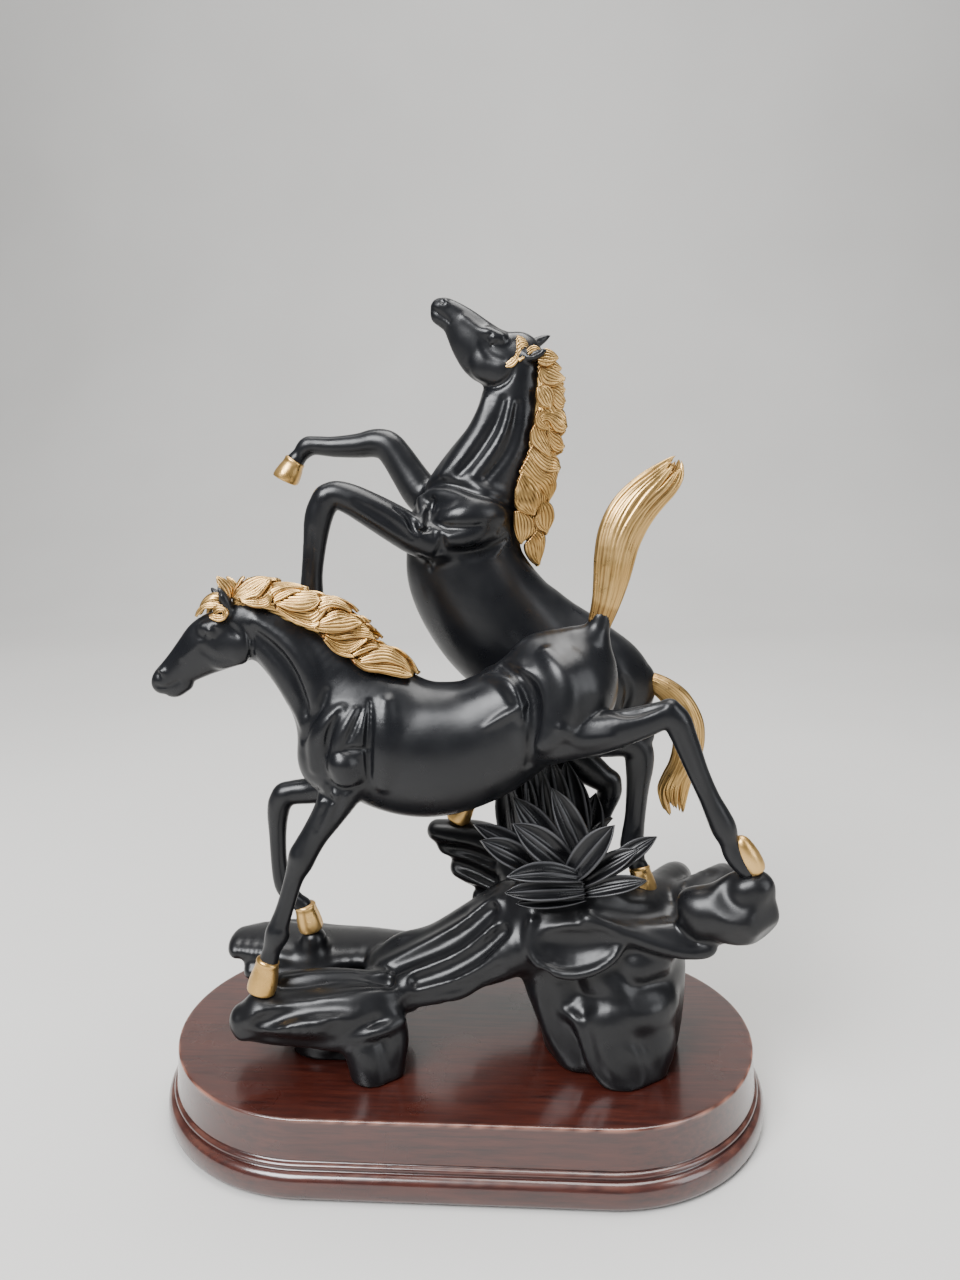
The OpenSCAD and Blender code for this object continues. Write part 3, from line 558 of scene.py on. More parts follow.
def front_horse():
    clay = Clay((-88, -34, 22), (86, 7, 146), 0.5)
    y = -14
    # trunk
    clay.add([(34.2, y, 119, 10.8, 0.8), (33, y, 115, 12.4, 0.86), (27.6, y, 112.4, 16.2, 0.82),
              (17, y, 105.2, 16.2, 0.84), (5, y, 98.2, 17.9, 0.81), (-8, y, 95.6, 19.7, 0.76),
              (-19, y, 97.2, 19.3, 0.73), (-28, y - 0.2, 101.6, 17.2, 0.72)], 1, 10)
    clay.add([(-22, y, 104, 16.5, 0.66), (-29.6, y, 108, 15.4, 0.64), (-35.6, y - 0.5, 114, 13.6, 0.62),
              (-41.8, y - 1, 120.6, 11.2, 0.6), (-48.6, y - 1.3, 126.8, 9.4, 0.58),
              (-54.8, y - 1.6, 130.8, 8.0, 0.6), (-60.5, y - 2, 132.8, 6.2, 0.7)], 4)
    clay.add([(-31.8, y - 4.6, 101.4, 10.2, 0.8), (-35, y - 4.4, 94, 10, 0.8)], 4)
    clay.add([(-31.8, y + 4.6, 101.4, 10.2, 0.8), (-35, y + 4.4, 94, 10, 0.8)], 4)
    clay.add([(24, y, 122.4, 7, 0.9), (33, y, 125.6, 5.6, 0.9), (38.6, y, 127.4, 3.6, 1)], 4)
    # legs
    leg(clay, [(-27.5, -21, 103, 8.2), (-29, -22.6, 94, 7.0), (-31.8, -23.6, 86.6, 5.9),
               (-35.4, -24.2, 80, 4.7), (-39.6, -24.6, 73.6, 3.9), (-42.6, -25, 68.6, 3.9),
               (-44, -25.2, 65.4, 3.7), (-46, -25.5, 60.6, 2.75), (-48.8, -25.8, 52, 2.55),
               (-50.8, -26, 46.4, 2.9), (-51.6, -26, 43.4, 3.5), (-53.2, -26, 39, 2.65),
               (-54.4, -26, 35.2, 2.8), (-54.8, -26, 33.8, 3)], 3)
    leg(clay, [(-26, -8, 99, 8.5), (-31, -6.4, 87.4, 6.6), (-38, -5, 81.4, 5.2), (-45, -4.2, 79.2, 4.1),
               (-51.5, -4, 78.2, 3.7), (-54.6, -4, 75.8, 3.7), (-55.8, -3.9, 71.6, 3.3),
               (-56.3, -3.6, 65, 2.7), (-56.4, -3.4, 56, 2.5), (-55.8, -3.1, 50, 2.8),
               (-54.6, -2.8, 46.6, 3.1), (-52.2, -2.4, 43, 2.5), (-50, -2.2, 40.8, 2.8)], 3)
    leg(clay, [(30.4, -19, 114.4, 12.6, 0.8), (28.4, -21.4, 107.4, 11, 0.8), (26.4, -22.4, 104, 9.4, 0.82),
               (31, -23.4, 103.6, 7.6, 0.8), (38, -24.8, 104, 6.2, 0.84), (45, -26, 105.8, 5.2, 0.86),
               (51.6, -26.6, 108, 4.4, 0.85), (56.6, -27, 109.8, 3.9, 0.8), (59.8, -27, 108.6, 3.9, 0.78),
               (62.6, -26.8, 102.8, 3.45, 0.8), (66.2, -26.4, 94, 2.95), (69.6, -26, 86.6, 2.85),
               (72.2, -25.7, 81.4, 3.3), (74, -25.4, 77.6, 3.5), (75.6, -25.1, 73.6, 2.75),
               (77.2, -24.9, 69.8, 2.9), (79.4, -24.9, 66.6, 2.6), (80.8, -24.9, 65, 2.2)], 3.5)
    leg(clay, [(31.4, -9, 113, 11.8, 0.8), (31.4, -6.4, 104, 10, 0.8), (36, -4.6, 99, 8, 0.8),
               (43, -3.4, 97, 6.4, 0.85), (49.4, -3, 95.4, 5, 0.85), (52.6, -3, 92.6, 4.5, 0.8),
               (53.2, -3, 88, 4.2, 0.8), (52.8, -3.1, 81, 3.4), (52.2, -3.4, 72, 3.1), (51.6, -3.9, 66, 3.4),
               (51.6, -4.2, 62.4, 3.7), (52.6, -4.8, 58.6, 2.8), (53.6, -5.2, 56.4, 3)], 3.5)
    # hocks, knees and the points of the elbows and hips
    for row, k in (((58.2, -27, 112.2, 2.2), 1.5), ((54.8, -3, 97.2, 2.6), 1.5),
                   ((-43.6, -25.2, 67.4, 3.3), 1.2),
                   ((-53.6, -4, 78, 3.3), 1.2), ((-50.6, -25.8, 43.2, 2.2), 1), ((19, y - 8, 118.6, 3.4), 3),
                   ((19, y + 8, 118.6, 3.4), 3)):
        clay.add([row], k, 1)
    # head
    h = y - 2
    clay.add([(-60.4, h, 128.6, 6.9, 0.64), (-64.7, h, 128.2, 8.3, 0.58), (-68.8, h, 126.6, 8.1, 0.56),
              (-72.8, h, 123.8, 6.8, 0.58), (-76.8, h, 120.7, 5.5, 0.62), (-80.2, h, 118.1, 4.6, 0.68),
              (-82.6, h, 116.2, 4.1, 0.76), (-83.7, h, 115.3, 3.4, 0.85)], 1.8)
    for side in (-1, 1):
        clay.add([(-61.2, h + side * 3.0, 125.8, 4.8, 0.5), (-65.2, h + side * 2.8, 124.2, 4.2, 0.5)], 1.4)
        clay.add([(-66, h + side * 3.1, 132.4, 1.9), (-69.4, h + side * 3.2, 131.8, 1.7)], 1.6)
        clay.add([(-70.6, h + side * 3.3, 127.6, 1.1), (-76, h + side * 2.5, 123.4, 0.8)], 1.4)
        clay.add([(-83, h + side * 2.2, 118.6, 1.35)], 0.9, 1)
    clay.add([(-77.2, h, 115.0, 2.2, 1.1), (-79.8, h, 113.1, 2.0, 1.15), (-81.4, h, 112.4, 1.4, 1.2)], 1.0)
    eye(clay, -67.6, 130.8, (-0.83, -0.56), 1.8)
    clay.mark((-85.2, 115, -83, 114.4, -80.4, 115.2, -78, 116.4), 0.55, -0.55, 0.3, BOTH, 0.8)
    for side in (-1, 1):
        clay.cut([(-84.1, h + side * 2.9, 118.3, 0.95), (-83.2, h + side * 3.7, 117.4, 0.7)], 0.35, 1)
    # jaw edge, throat and temple
    for mark in (
            ((-58.4, 132.6, -56.2, 129, -56.2, 125, -58.6, 121.4), 1.1, -1, 0.7),
            ((-70.5, 126, -66.8, 123.2, -62.2, 122.8), 1.2, -0.35, 1.2),
            ((-62, 133, -59.8, 129.6), 1.1, -0.5, 1)):
        clay.mark(*mark)
    # neck tendons and the shoulder
    for mark in (
            ((-54.6, 133.8, -46.2, 128, -40.4, 119.4, -37.8, 110.6), 3.4, 1.3, 2.2),
            ((-55, 130.6, -49.4, 125.8, -44.2, 118.4, -40.8, 108), 1.6, -1.2, 1.4),
            ((-55.6, 126.4, -50.2, 120, -46, 112.6, -42.8, 105), 3, 0.9, 2.2),
            ((-35, 115, -37, 109.4, -39.6, 104.4, -42.4, 100.6), 1.6, -1.1, 1.5),
            ((-31, 110.6, -35.4, 106.6, -38.2, 100.8, -38.8, 93.4), 3.4, 1.4, 1.8, BOTH, 0.35),
            ((-30.8, 110.4, -34, 103.6, -34.6, 95.6), 1.2, -1.15, 0.9),
            ((-26.9, 110.5, -30.1, 104.4, -32.2, 98.8, -32.9, 96), 1.9, 0.9, 1.1),
            ((-24.9, 110.6, -27.4, 104.8, -29.4, 100.8), 1, -0.85, 0.9),
            ((-18.6, 112, -18.4, 104, -18.8, 96, -19.6, 89), 3.6, 0.7, 2.8),
            ((-22.8, 112.5, -22.7, 105.3, -23.2, 98.7, -23.2, 90.5), 1.3, -1.4, 0.8, BOTH, 0.35)):
        clay.mark(*mark)
    for side in (-1, 1):
        elbow, out = clay.skin_at(-29.4, 93.8, side)
        clay.add([[*(elbow - out * 2.9 + np.array([-0.8, 0, 1.2])), 5.0],
                  [*(elbow - out * 3.1 - (0, 0, 1.4)), 4.8]], 0.9, 1)
    for mark in (
            ((-35, 90.6, -30.4, 88, -25.4, 89.6), 1.2, -1, 0.9),
            ((-30.6, 99.6, -27.4, 100, -23.4, 99.8), 0.9, -0.8, 0.6, BOTH, 0.35),
            ((-33.8, 90.6, -35.4, 84.6, -38.4, 76), 1.2, -1, 0.9, NEAR),
            ((-30.4, 87, -33.6, 79.6), 1, -0.7, 0.8, NEAR),
            ((-39.4, 86.6, -36, 85.8, -32.6, 84.8), 1.2, -0.7, 1, NEAR)):
        clay.mark(*mark)
    # flank, thigh and buttock
    for mark in (
            ((6.4, 118.6, 13.4, 118, 17.6, 114, 18.6, 109), 2.6, 1, 2),
            ((9, 122, 16.6, 120.6, 20.8, 116, 21.6, 108.2, 20.8, 95), 2.4, -2.4, 1.9),
            ((8.6, 105.8, 14.2, 109.2, 19.6, 112.4), 1.3, 0.9, 1),
            ((25, 126, 29.2, 121, 30.8, 114.2, 29, 106.8, 24.2, 101.8), 3.6, 1.2, 3),
            ((29, 107, 34, 103.8, 42, 104.6), 2.2, 0.7, 2, NEAR),
            ((42.4, 110.6, 47, 110.4, 51.6, 111.6, 56, 113), 1.1, -0.8, 0.9, NEAR),
            ((60, 106.4, 63.6, 98, 67.4, 89), 1, -0.5, 0.9, NEAR),
            ((-45.6, 60, -48.2, 52, -50, 46), 0.9, -0.4, 0.8, NEAR)):
        clay.mark(*mark)
    # ears
    for rows in ([(-62.6, h - 2.8, 136.4, 1.7), (-63.4, h - 3.4, 139.4, 1.75), (-64.2, h - 3.8, 141.6, 1.1),
                  (-64.8, h - 4.0, 143.2, 0.4)],
                 [(-64.6, h + 2.6, 136.4, 1.6), (-66.8, h + 3.2, 139.2, 1.5), (-68.6, h + 3.6, 141, 0.9),
                  (-69.4, h + 3.8, 142, 0.4)]):
        clay.add(rows, 0.8)
        a, b = np.array(rows[1][:3]), np.array(rows[2][:3])
        front = np.array([-0.75, -0.62 if rows[0][1] < h else 0.5, 0.1])
        clay.cut([[*(a - (b - a) * 0.3 + front * 1.3), 0.8], [*(b + front * 1.0), 0.35]], 0.4, 1)
    # dock
    clay.add([(38, y, 128, 4), (39.6, y, 131.2, 3.3), (40.4, y + 0.1, 134, 3.0)], 2)
    return clay


front = front_horse()
make_piece("FrontHorse", *front.skin(), BLACK, "black_cast", ["front_body"])


# ------------------------------------------------------------------ the rearing horse
def rear_horse():
    clay = Clay((-60, -2, 34), (62, 41, 228), 0.5)
    y = 20
    clay.add([(51.5, y, 103.5, 5, 0.85), (49, y, 105, 11, 0.75), (43, y, 108.4, 15, 0.78),
              (34, y, 112, 17, 0.8), (22.2, y, 116.4, 19.2, 0.76), (12.8, y, 124.1, 19.8, 0.73),
              (5.4, y, 133.2, 19.3, 0.74), (0.6, y, 142.6, 18.4, 0.74), (-0.4, y, 151, 17, 0.75)], 1, 10)
    clay.add([(0, y, 156, 16.4, 0.7), (2.6, y, 164, 15, 0.68), (6.4, y, 172.4, 12.9, 0.66),
              (10.4, y, 180, 10.9, 0.66), (13.2, y, 188, 9.6, 0.66), (15, y + 0.4, 196, 8.8, 0.66),
              (16.6, y + 0.4, 203, 7.2, 0.72), (18, y + 0.5, 207, 5.8, 0.76)], 4)
    clay.add([(26, y, 130, 6, 0.9), (38, y, 121.6, 6, 0.9), (49, y, 111.4, 4, 1)], 4)
    # legs
    leg(clay, [(5, 13, 161, 8.6, 0.8), (1, 11, 158, 8.2, 0.8), (-4, 9, 154.4, 6.6, 0.86),
               (-8.4, 7.8, 152.8, 5.3, 0.9), (-13, 7, 154.7, 5.7, 0.9), (-19, 6, 158.4, 5.6),
               (-26, 5.2, 162.6, 5.1), (-32.4, 4.6, 166, 4.5), (-37, 4.2, 167.1, 4.1), (-40, 4.1, 164.4, 4.2),
               (-41.8, 4.1, 160, 4.1), (-43, 4.1, 153, 3.5), (-44.1, 4.1, 145, 3.2), (-44.5, 4.1, 139.4, 3.4),
               (-44.2, 4.1, 136, 3.3), (-43.5, 4.1, 132.4, 2.6), (-43.1, 4, 130.6, 2.9)], 3)
    leg(clay, [(2, 26, 162, 8.6, 0.8), (-4, 27, 162, 7.2, 0.86), (-10, 28, 163.4, 6.0), (-14, 29, 166.8, 6.0),
               (-18, 30, 172.4, 5.5), (-21.6, 30.7, 177.8, 5.1), (-24.6, 31.1, 181.2, 4.9),
               (-28.6, 31.4, 182.2, 4.5), (-34, 31.9, 181.5, 3.9), (-42, 32.5, 181.2, 3.3),
               (-48, 32.8, 181.6, 3.0), (-50.8, 33, 181.2, 3.2), (-53.2, 33, 178.8, 2.6),
               (-54.8, 33, 177, 2.9)], 3)
    leg(clay, [(41, 15.6, 109, 12, 0.8), (33, 14, 101, 10.6, 0.8), (27.4, 13.2, 94.6, 8.8, 0.84),
               (31, 12.4, 88.4, 7.0, 0.84), (37, 11.6, 83.4, 5.7, 0.86), (42, 11.1, 79.8, 4.6, 0.85),
               (45.2, 11, 77.4, 3.9, 0.8), (45.6, 11, 74.4, 3.9, 0.8), (43.8, 11, 69, 3.4, 0.85),
               (41.4, 11, 61.4, 2.9), (39.2, 11, 54.6, 2.9), (37.6, 11, 50, 3.4), (36.6, 11, 47.4, 3.6),
               (35, 11, 44.4, 2.8), (33.8, 11, 42.8, 3.0)], 3.5)
    leg(clay, [(41, 24.4, 109, 12, 0.8), (31, 26, 101, 10.4, 0.8), (23, 27.4, 94.6, 8.6, 0.84),
               (20.6, 28, 88.6, 7.2, 0.84), (21.4, 28, 83.6, 5.6, 0.86), (22.8, 28, 79.4, 4.7, 0.85),
               (23.4, 28, 76.6, 4.2, 0.85), (21.4, 27.9, 74.4, 3.8, 0.85), (16, 27.6, 72.6, 3.1),
               (9.6, 27.1, 70.4, 3.0), (5.4, 26.7, 69, 3.4), (3.4, 26.5, 68, 3.5), (1.2, 26.2, 65.8, 2.8),
               (0, 26, 64.8, 3.0)], 3.5)
    for row, k in (((46.6, 11, 78.6, 2.3), 1.5), ((25.4, 28, 76.6, 2.4), 1.5),
                   ((-39.4, 4.1, 166.4, 3.5), 1.2),
                   ((-25, 31.1, 182.2, 3.3), 1.2), ((28, y - 8, 122, 3.2), 3), ((28, y + 8, 122, 3.2), 3)):
        clay.add([row], k, 1)
    # head
    h = y + 0.5
    clay.add([(16.4, h, 207.4, 6.9, 0.66), (12.6, h, 206.3, 8.1, 0.6), (7.9, h, 207.6, 8.4, 0.58),
              (4.0, h, 211.3, 7.3, 0.6), (0.8, h, 215.3, 5.8, 0.64), (-2.0, h, 218.4, 4.5, 0.72),
              (-4.8, h, 220.5, 3.7, 0.82), (-6.3, h, 221.2, 3.0, 0.9)], 1.8)
    for side in (-1, 1):
        clay.add([(11.4, h + side * 3.4, 203.8, 5.0, 0.5), (7.4, h + side * 3.1, 204.2, 4.6, 0.5)], 1.4)
        clay.add([(11.6, h + side * 3.4, 212, 1.9), (8.2, h + side * 3.4, 213.6, 1.8)], 1.6)
        clay.add([(6, h + side * 3.4, 214, 1.1), (1, h + side * 2.6, 217.8, 0.8)], 1.4)
        clay.add([(-5.0, h + side * 2.2, 222.4, 1.3)], 0.9, 1)
    clay.add([(-5.2, h, 217.2, 1.9, 1.1), (-7.4, h, 218.4, 1.6, 1.2), (-8.2, h, 219.4, 1.1, 1.3)], 1.0)
    eye(clay, 9.6, 211.6, (-0.72, 0.69))
    clay.mark((-9, 221.2, -6.8, 219.6, -4.4, 217.8, -3.2, 216.6), 0.5, -0.5, 0.3, BOTH, 0.8)
    for side in (-1, 1):
        clay.cut([(-5.6, h + side * 2.8, 223.0, 0.75), (-4.8, h + side * 3.4, 222.2, 0.6)], 0.35, 1)
    for mark in (
            ((15.6, 205.6, 14.4, 200.8, 10.4, 198.2, 5.6, 198.4), 1, -0.9, 0.8),
            ((6, 210.4, 8.6, 206.8, 12.8, 205.6), 1.2, -0.35, 1.2)):
        clay.mark(*mark)
    # neck
    for mark in (
            ((7, 194, 4.4, 186, -0.6, 178.6, -5.4, 173), 3.6, 0.8, 2.6),
            ((12.6, 194.2, 10.4, 186.4, 5.4, 179.4, -0.4, 173), 1.9, -1, 1.9),
            ((14.6, 193, 12.8, 185.4, 9, 178.6, 4, 172.4), 2.4, 0.7, 2),
            ((17, 193, 15.4, 185, 12.4, 178, 7.6, 171.6), 1.7, -0.8, 1.8)):
        clay.mark(*mark)
    # shoulder and chest
    for mark in (
            ((-14.8, 164.4, -11.8, 168.2, -7.2, 169.8, -1, 169.2, 6, 166.8, 12, 165, 16, 161.6), 1.5, -1,
            1.5),
            ((-12, 165.6, -7.6, 167.4, -1.4, 166.8, 5, 164.6), 2.2, 0.8, 1.8),
            ((-12.8, 165, -11.2, 160.6, -11.6, 157), 2, 1.4, 1, BOTH, 0.8),
            ((-8.6, 165.4, -9.6, 161, -9.2, 157.4), 1.1, -1.2, 0.8, BOTH, 0.8),
            ((-5.2, 161.6, 1, 161.8, 7, 161, 12, 160.4), 4.6, 1.6, 2.6, BOTH, 0.35),
            ((-7.6, 158.8, -3.6, 157.4, 1.4, 157.2, 6, 158), 1.2, -0.9, 1.3),
            ((-2.2, 154.4, 3.4, 154.2, 9.4, 155.8), 3.4, 1.1, 2.2, BOTH, 0.35),
            ((-4.4, 151, 1, 150, 7.4, 150.6, 13, 153.6), 1.8, -1.2, 1.8),
            ((-5.6, 156, -5.2, 152.6, -7.2, 149.4), 1.1, -1, 1),
            ((-18.6, 163.4, -14.4, 160.6, -12.6, 156.4, -9.2, 157), 1.2, -1.3, 0.8, NEAR),
            ((-30, 165.4, -21, 160.2, -14, 154.6), 1.5, -0.6, 1.3, NEAR),
            ((-12.4, 149.6, -9.8, 147.2, -9.2, 144.6), 1, -0.9, 1),
            ((-43.2, 158, -44.2, 150, -44.8, 142), 0.9, -0.5, 0.8, NEAR)):
        clay.mark(*mark)
    # flank, thigh and buttock
    for mark in (
            ((27, 124, 29.6, 118, 28, 110, 23, 102), 2.4, -1.2, 2.4),
            ((33, 123, 34.6, 114, 31, 106), 2.8, 0.8, 2.4),
            ((37, 124, 40, 117, 39.4, 109, 36, 102), 2.2, -0.7, 2.2),
            ((42, 119.6, 45, 113.6, 44.4, 106, 40, 98), 2.4, 0.7, 2.2),
            ((49, 112, 51, 107, 48.6, 99), 1.6, -0.8, 1.5),
            ((44.4, 73, 41.6, 64, 39.4, 56), 0.7, -0.35, 0.7, NEAR)):
        clay.mark(*mark)
    # ears
    for rows in ([(18.4, h - 3.6, 207.2, 1.6), (20.6, h - 4.6, 206.6, 1.7), (23.4, h - 5.2, 207.6, 1.2),
                  (25.2, h - 5.6, 208.6, 0.4)],
                 [(19.4, h + 3.2, 209.6, 1.6), (21.8, h + 3.9, 211.2, 1.7), (24.4, h + 4.4, 212.6, 1.2),
                  (26.2, h + 4.8, 213.6, 0.4)]):
        clay.add(rows, 0.8)
        a, b = np.array(rows[1][:3]), np.array(rows[2][:3])
        front_way = np.array([-0.1, -0.75 if rows[0][1] < h else 0.55, 0.6])
        clay.cut([[*(a + front_way * 1.3), 0.8], [*(b + front_way * 1.0), 0.4]], 0.4, 1)
    clay.add([(50, y, 109, 4), (54, y, 109.6, 3.3), (56.4, y, 109.6, 3.0)], 2)
    return clay


rear = rear_horse()
make_piece("RearHorse", *rear.skin(), BLACK, "black_cast", ["rear_body"])


# ------------------------------------------------------------------ hair
def bunches(hair, rows, middle, far_shift):
    """The near bunches as given, others under them, and the far ones mirrored in the neck's middle plane."""
    neighbour, under_depth, under_puff, samples = 9, 1.1, 0.5, 5

    def even(points):
        line = curve_through(points, 8)
        return line[np.linspace(0, len(line) - 1, samples).round().astype(int)]

    rows = [(strand_edge(*upper), strand_edge(*lower), puff) for upper, lower, puff in rows]
    under = []
    for one, two in zip(rows, rows[1:]):
        gap = np.linalg.norm(even(one[1])[0] - even(two[0])[0])
        if gap < neighbour:
            sink = np.array([0, under_depth, 0])
            under.append(((even(one[0]) + even(two[0])) / 2 + sink, (even(one[1]) + even(two[1])) / 2 + sink,
                          under_puff))
    for upper, lower, puff in under + rows:
        hair.bunch(upper, lower, puff)
        far = [[(p[0] + far_shift[0], 2 * middle - p[1], p[2] + far_shift[1]) for p in points]
               for points in (upper, lower)]
        hair.bunch(*far, puff, -1)


def front_mane():
    hair = Hair()
    y = -16
    core = [(-61.5, y, 138.4), (-57, y, 139.4), (-51.6, y, 139), (-45, y, 136.6), (-38, y, 133.8),
            (-31, y, 129.6),
            (-24.6, y, 124.8), (-18.4, y, 120.6), (-12.6, y, 118.2)]
    hair.lock(core, 4.3, (0, -1, 0), flat=1.0, grooves=11, sides=66, rings=70, blunt=0.45, root=0.55,
              depth=0.13, twist=3.4)
    bunches(hair, [
        ((-17, -18, -62, 139.6, -62, 142.7, -63.6, 145.1, -65.4, 146.1), (-19.6, -18.6, -62.6, 140, -64.4,
        142.8, -65.4, 144.5, -65.7, 145.9), 0.45),
        ((-17.4, -17, -62.1, 139.7, -60.4, 142.5, -57.5, 144.7, -54.3, 145.8, -51.3, 145.5), (-20, -18.6,
        -59.7, 139.5, -57.6, 140.8, -55.4, 141.8, -53.1, 143.3, -50.8, 145.1), 0.4),
        ((-19, -18, -59.6, 140.4, -57.2, 141.7, -54.8, 143.1, -52.4, 144.4, -50.8, 145.3), (-20.8, -19.6,
        -58.7, 139.3, -56, 140.3, -53.6, 140.9, -51.6, 143.1, -50.4, 144.9), 0.5),
        ((-20, -20, -59.1, 139.7, -56.1, 140.2, -53.3, 139.8, -51.5, 140.2, -50.6, 141.7), (-21.6, -20.6,
        -58.1, 139.2, -55.4, 138.1, -52.3, 137.9, -50.3, 138.9, -49.8, 141.4), 0.5),
        ((-16.6, -16, -55.1, 141, -52.2, 143, -49, 143.8, -45.4, 143.8, -42.4, 143), (-20, -17.4, -49.9,
        140.2, -48.9, 141.6, -46.8, 142.5, -44.6, 142.6, -42.1, 142.8), 0.4),
        ((-19, -17.6, -50.2, 140, -48.4, 141.6, -46.1, 142.2, -43.8, 142.2, -42.5, 142), (-21, -19, -49.3,
        139.3, -47.2, 140.1, -44.9, 141.3, -43.2, 141.8, -42.1, 141.8), 0.45),
        ((-18.4, -18, -49.4, 139.3, -45.8, 141.1, -41.4, 141.6, -38.2, 141, -37, 139.6), (-22, -19.6, -48.5,
        138.6, -44.8, 137.3, -40.6, 137.2, -37.9, 138, -36.6, 139.6), 0.4),
        ((-20, -18, -49.4, 138.7, -45.3, 136.9, -41, 136.7, -37.5, 137.9, -34.1, 139.6), (-22.6, -19.6,
        -48.2, 137.8, -44.7, 135.3, -41.4, 133.8, -38, 133.6, -33.2, 139), 0.42),
        ((-17.4, -17, -37.8, 139.9, -35.3, 140.4, -32.5, 139.4, -30, 137.9, -28.7, 136.4), (-20.4, -18.4,
        -37.1, 136.4, -34, 138, -31.7, 137.8, -29.9, 137, -28.4, 136.1), 0.45),
        ((-21.6, -21.6, -48.6, 138, -44.8, 135.4, -41.3, 133.9, -38.9, 133.5, -36.9, 134.1), (-23, -22.4,
        -48.2, 137.6, -44.5, 134.7, -41.1, 133.1, -38.8, 132.4, -36.6, 133.2), 0.5),
        ((-19, -17, -39.2, 132.8, -35.6, 135.5, -32, 136.9, -29.4, 135.5, -27.4, 133.7), (-21.6, -18.6,
        -38.2, 132.3, -35.2, 132.9, -31.7, 134, -29.1, 133.9, -26.8, 133.4), 0.42),
        ((-21, -18.4, -38.3, 133, -34.9, 133.7, -31, 134.2, -27.5, 134.6, -25.6, 133.3), (-22.8, -20, -38.3,
        132.3, -35.8, 131.3, -32.4, 131.1, -28.5, 131.6, -25.2, 133.1), 0.45),
        ((-20, -17.6, -37.4, 130.8, -33.6, 130.6, -30, 131.1, -26.1, 131.3, -23.4, 130.6, -21.9, 128.7),
        (-22, -19, -34.6, 130, -31.6, 129.1, -28.6, 129.4, -25.9, 129.5, -23.6, 129.2, -21.8, 128.6), 0.42),
        ((-21.4, -19, -36.9, 130.7, -33.3, 129, -30.3, 128.1, -27.6, 128.2, -25.7, 128.7, -24.2, 129), (-23,
        -20.6, -35.6, 130, -33.1, 127.1, -30.4, 125.5, -28.2, 125.7, -25.8, 127.2, -23.8, 128.8), 0.45),
        ((-22.2, -21.6, -35.8, 130, -33.2, 127, -30.5, 125.5, -27.8, 124.9), (-23.4, -22.6, -35.2, 129.1,
        -32.6, 126, -29.9, 124.6, -27.2, 124.2), 0.5),
        ((-19, -17.2, -28.6, 125.4, -26.7, 127, -24.7, 127.9, -22.4, 127.7, -20.7, 126.2), (-22, -18.6,
        -27.7, 124.4, -25.5, 125.3, -23.2, 126.1, -21.8, 126.3, -20.5, 126.1), 0.42),
        ((-19, -17, -26.7, 123.8, -22.7, 125.8, -18.8, 125.8, -16.1, 124.5, -13.7, 122.3, -12, 118.7),
        (-21.6, -18.6, -25.9, 122.3, -22.4, 122.6, -18.9, 122.9, -15.9, 122, -13.6, 120.7, -11.8, 118.6),
        0.42),
        ((-21, -18.6, -29.1, 124.2, -25.7, 122.8, -22.2, 122.2, -17.9, 121.9, -14.8, 121, -11.9, 118.8),
        (-22.8, -19.6, -27.2, 122.6, -24.3, 120.5, -20.4, 119.9, -16.6, 118.9, -13.5, 118.1, -11.5, 118.4),
        0.45)], y, (1.2, -0.6))
    return hair.build("FrontMane", "front_mane")


def front_forelock():
    hair = Hair()
    for upper, lower, puff in (
            ((-18, -18.6, -65, 138.7, -68, 139, -70.2, 137.9, -71.6, 136.5, -72.2, 134.9), (-20, -19.6,
            -65.1, 137.5, -67.1, 137.5, -69.2, 137.3, -70.8, 135.8, -71.6, 134.9), 0.5),
            ((-19.6, -21, -66.8, 137.4, -64.8, 138.3, -63, 137.6, -62.2, 136, -63.3, 134.8), (-21.6, -22,
            -65.8, 136, -64.3, 136.8, -63.5, 136.8, -63.2, 136, -63.5, 135.5), 0.6),
            ((-20.4, -21, -67.9, 135.4, -66.4, 136, -64.7, 135.8, -63.1, 135.9, -62.3, 136.9), (-21.8,
            -21.8, -67.2, 135, -66, 134.4, -64.5, 134.1, -62.8, 134.7, -61.8, 136.2), 0.6)):
        hair.bunch(strand_edge(*upper), strand_edge(*lower), puff)
    for path, r in (([(-64, -15.4, 139), (-67.6, -15.2, 139.8), (-70.6, -15.2, 138), (-72.2, -15.2, 134.6)],
                     1.5),
                    ([(-63.6, -13.6, 138.6), (-66.6, -12.8, 139), (-69.4, -12.6, 137.2), (-71, -12.6, 134)],
                     1.5)):
        hair.lock(path, r, (-0.4, -0.7, 0.4), grooves=4, rings=18)
    return hair.build("FrontForelock", "front_forelock")


def tail(name, node, near_edge, far_edge, thick, rows):
    """Long strands between a tail's two edges, round a core, with a parted tip."""
    hair = Hair()
    a, b = curve_through(near_edge, 4), curve_through(far_edge, 4)
    n = len(a)
    t = np.linspace(0, 1, n)
    depth = thick * np.interp(t, [0, 0.12, 0.45, 0.8, 1], [0.55, 0.75, 1, 0.85, 0.4])
    for side, count in rows:
        for j in range(count):
            u = (j + 0.5) / count * 2 - 1
            drift = u + 0.16 * np.sin(2.2 * np.pi * t + rng.uniform(0, 6.28)) * (1 - abs(u)) * t
            spread = np.clip(drift, -0.9, 0.9)
            bulge = side * np.sqrt(np.maximum(0, 1 - (0.9 * spread) ** 2))
            path = (a + b) / 2 + (b - a) / 2 * spread[:, None] + np.outer(depth * bulge, (0, 1, 0))
            stop = n - int(rng.integers(0, 4)) - (1 if abs(u) < 0.25 else 0)
            hair.lock(path[:stop:3] if stop % 3 == 1 else np.vstack([path[:stop:3], path[stop - 1:stop]]),
                      2.0 - 0.5 * abs(u), (0.2 * u, side or -0.4, 0), flat=0.62, grooves=3, sides=20,
                      rings=40,
                      blunt=0.42, root=0.55, depth=0.30)
    return hair.build(name, node)


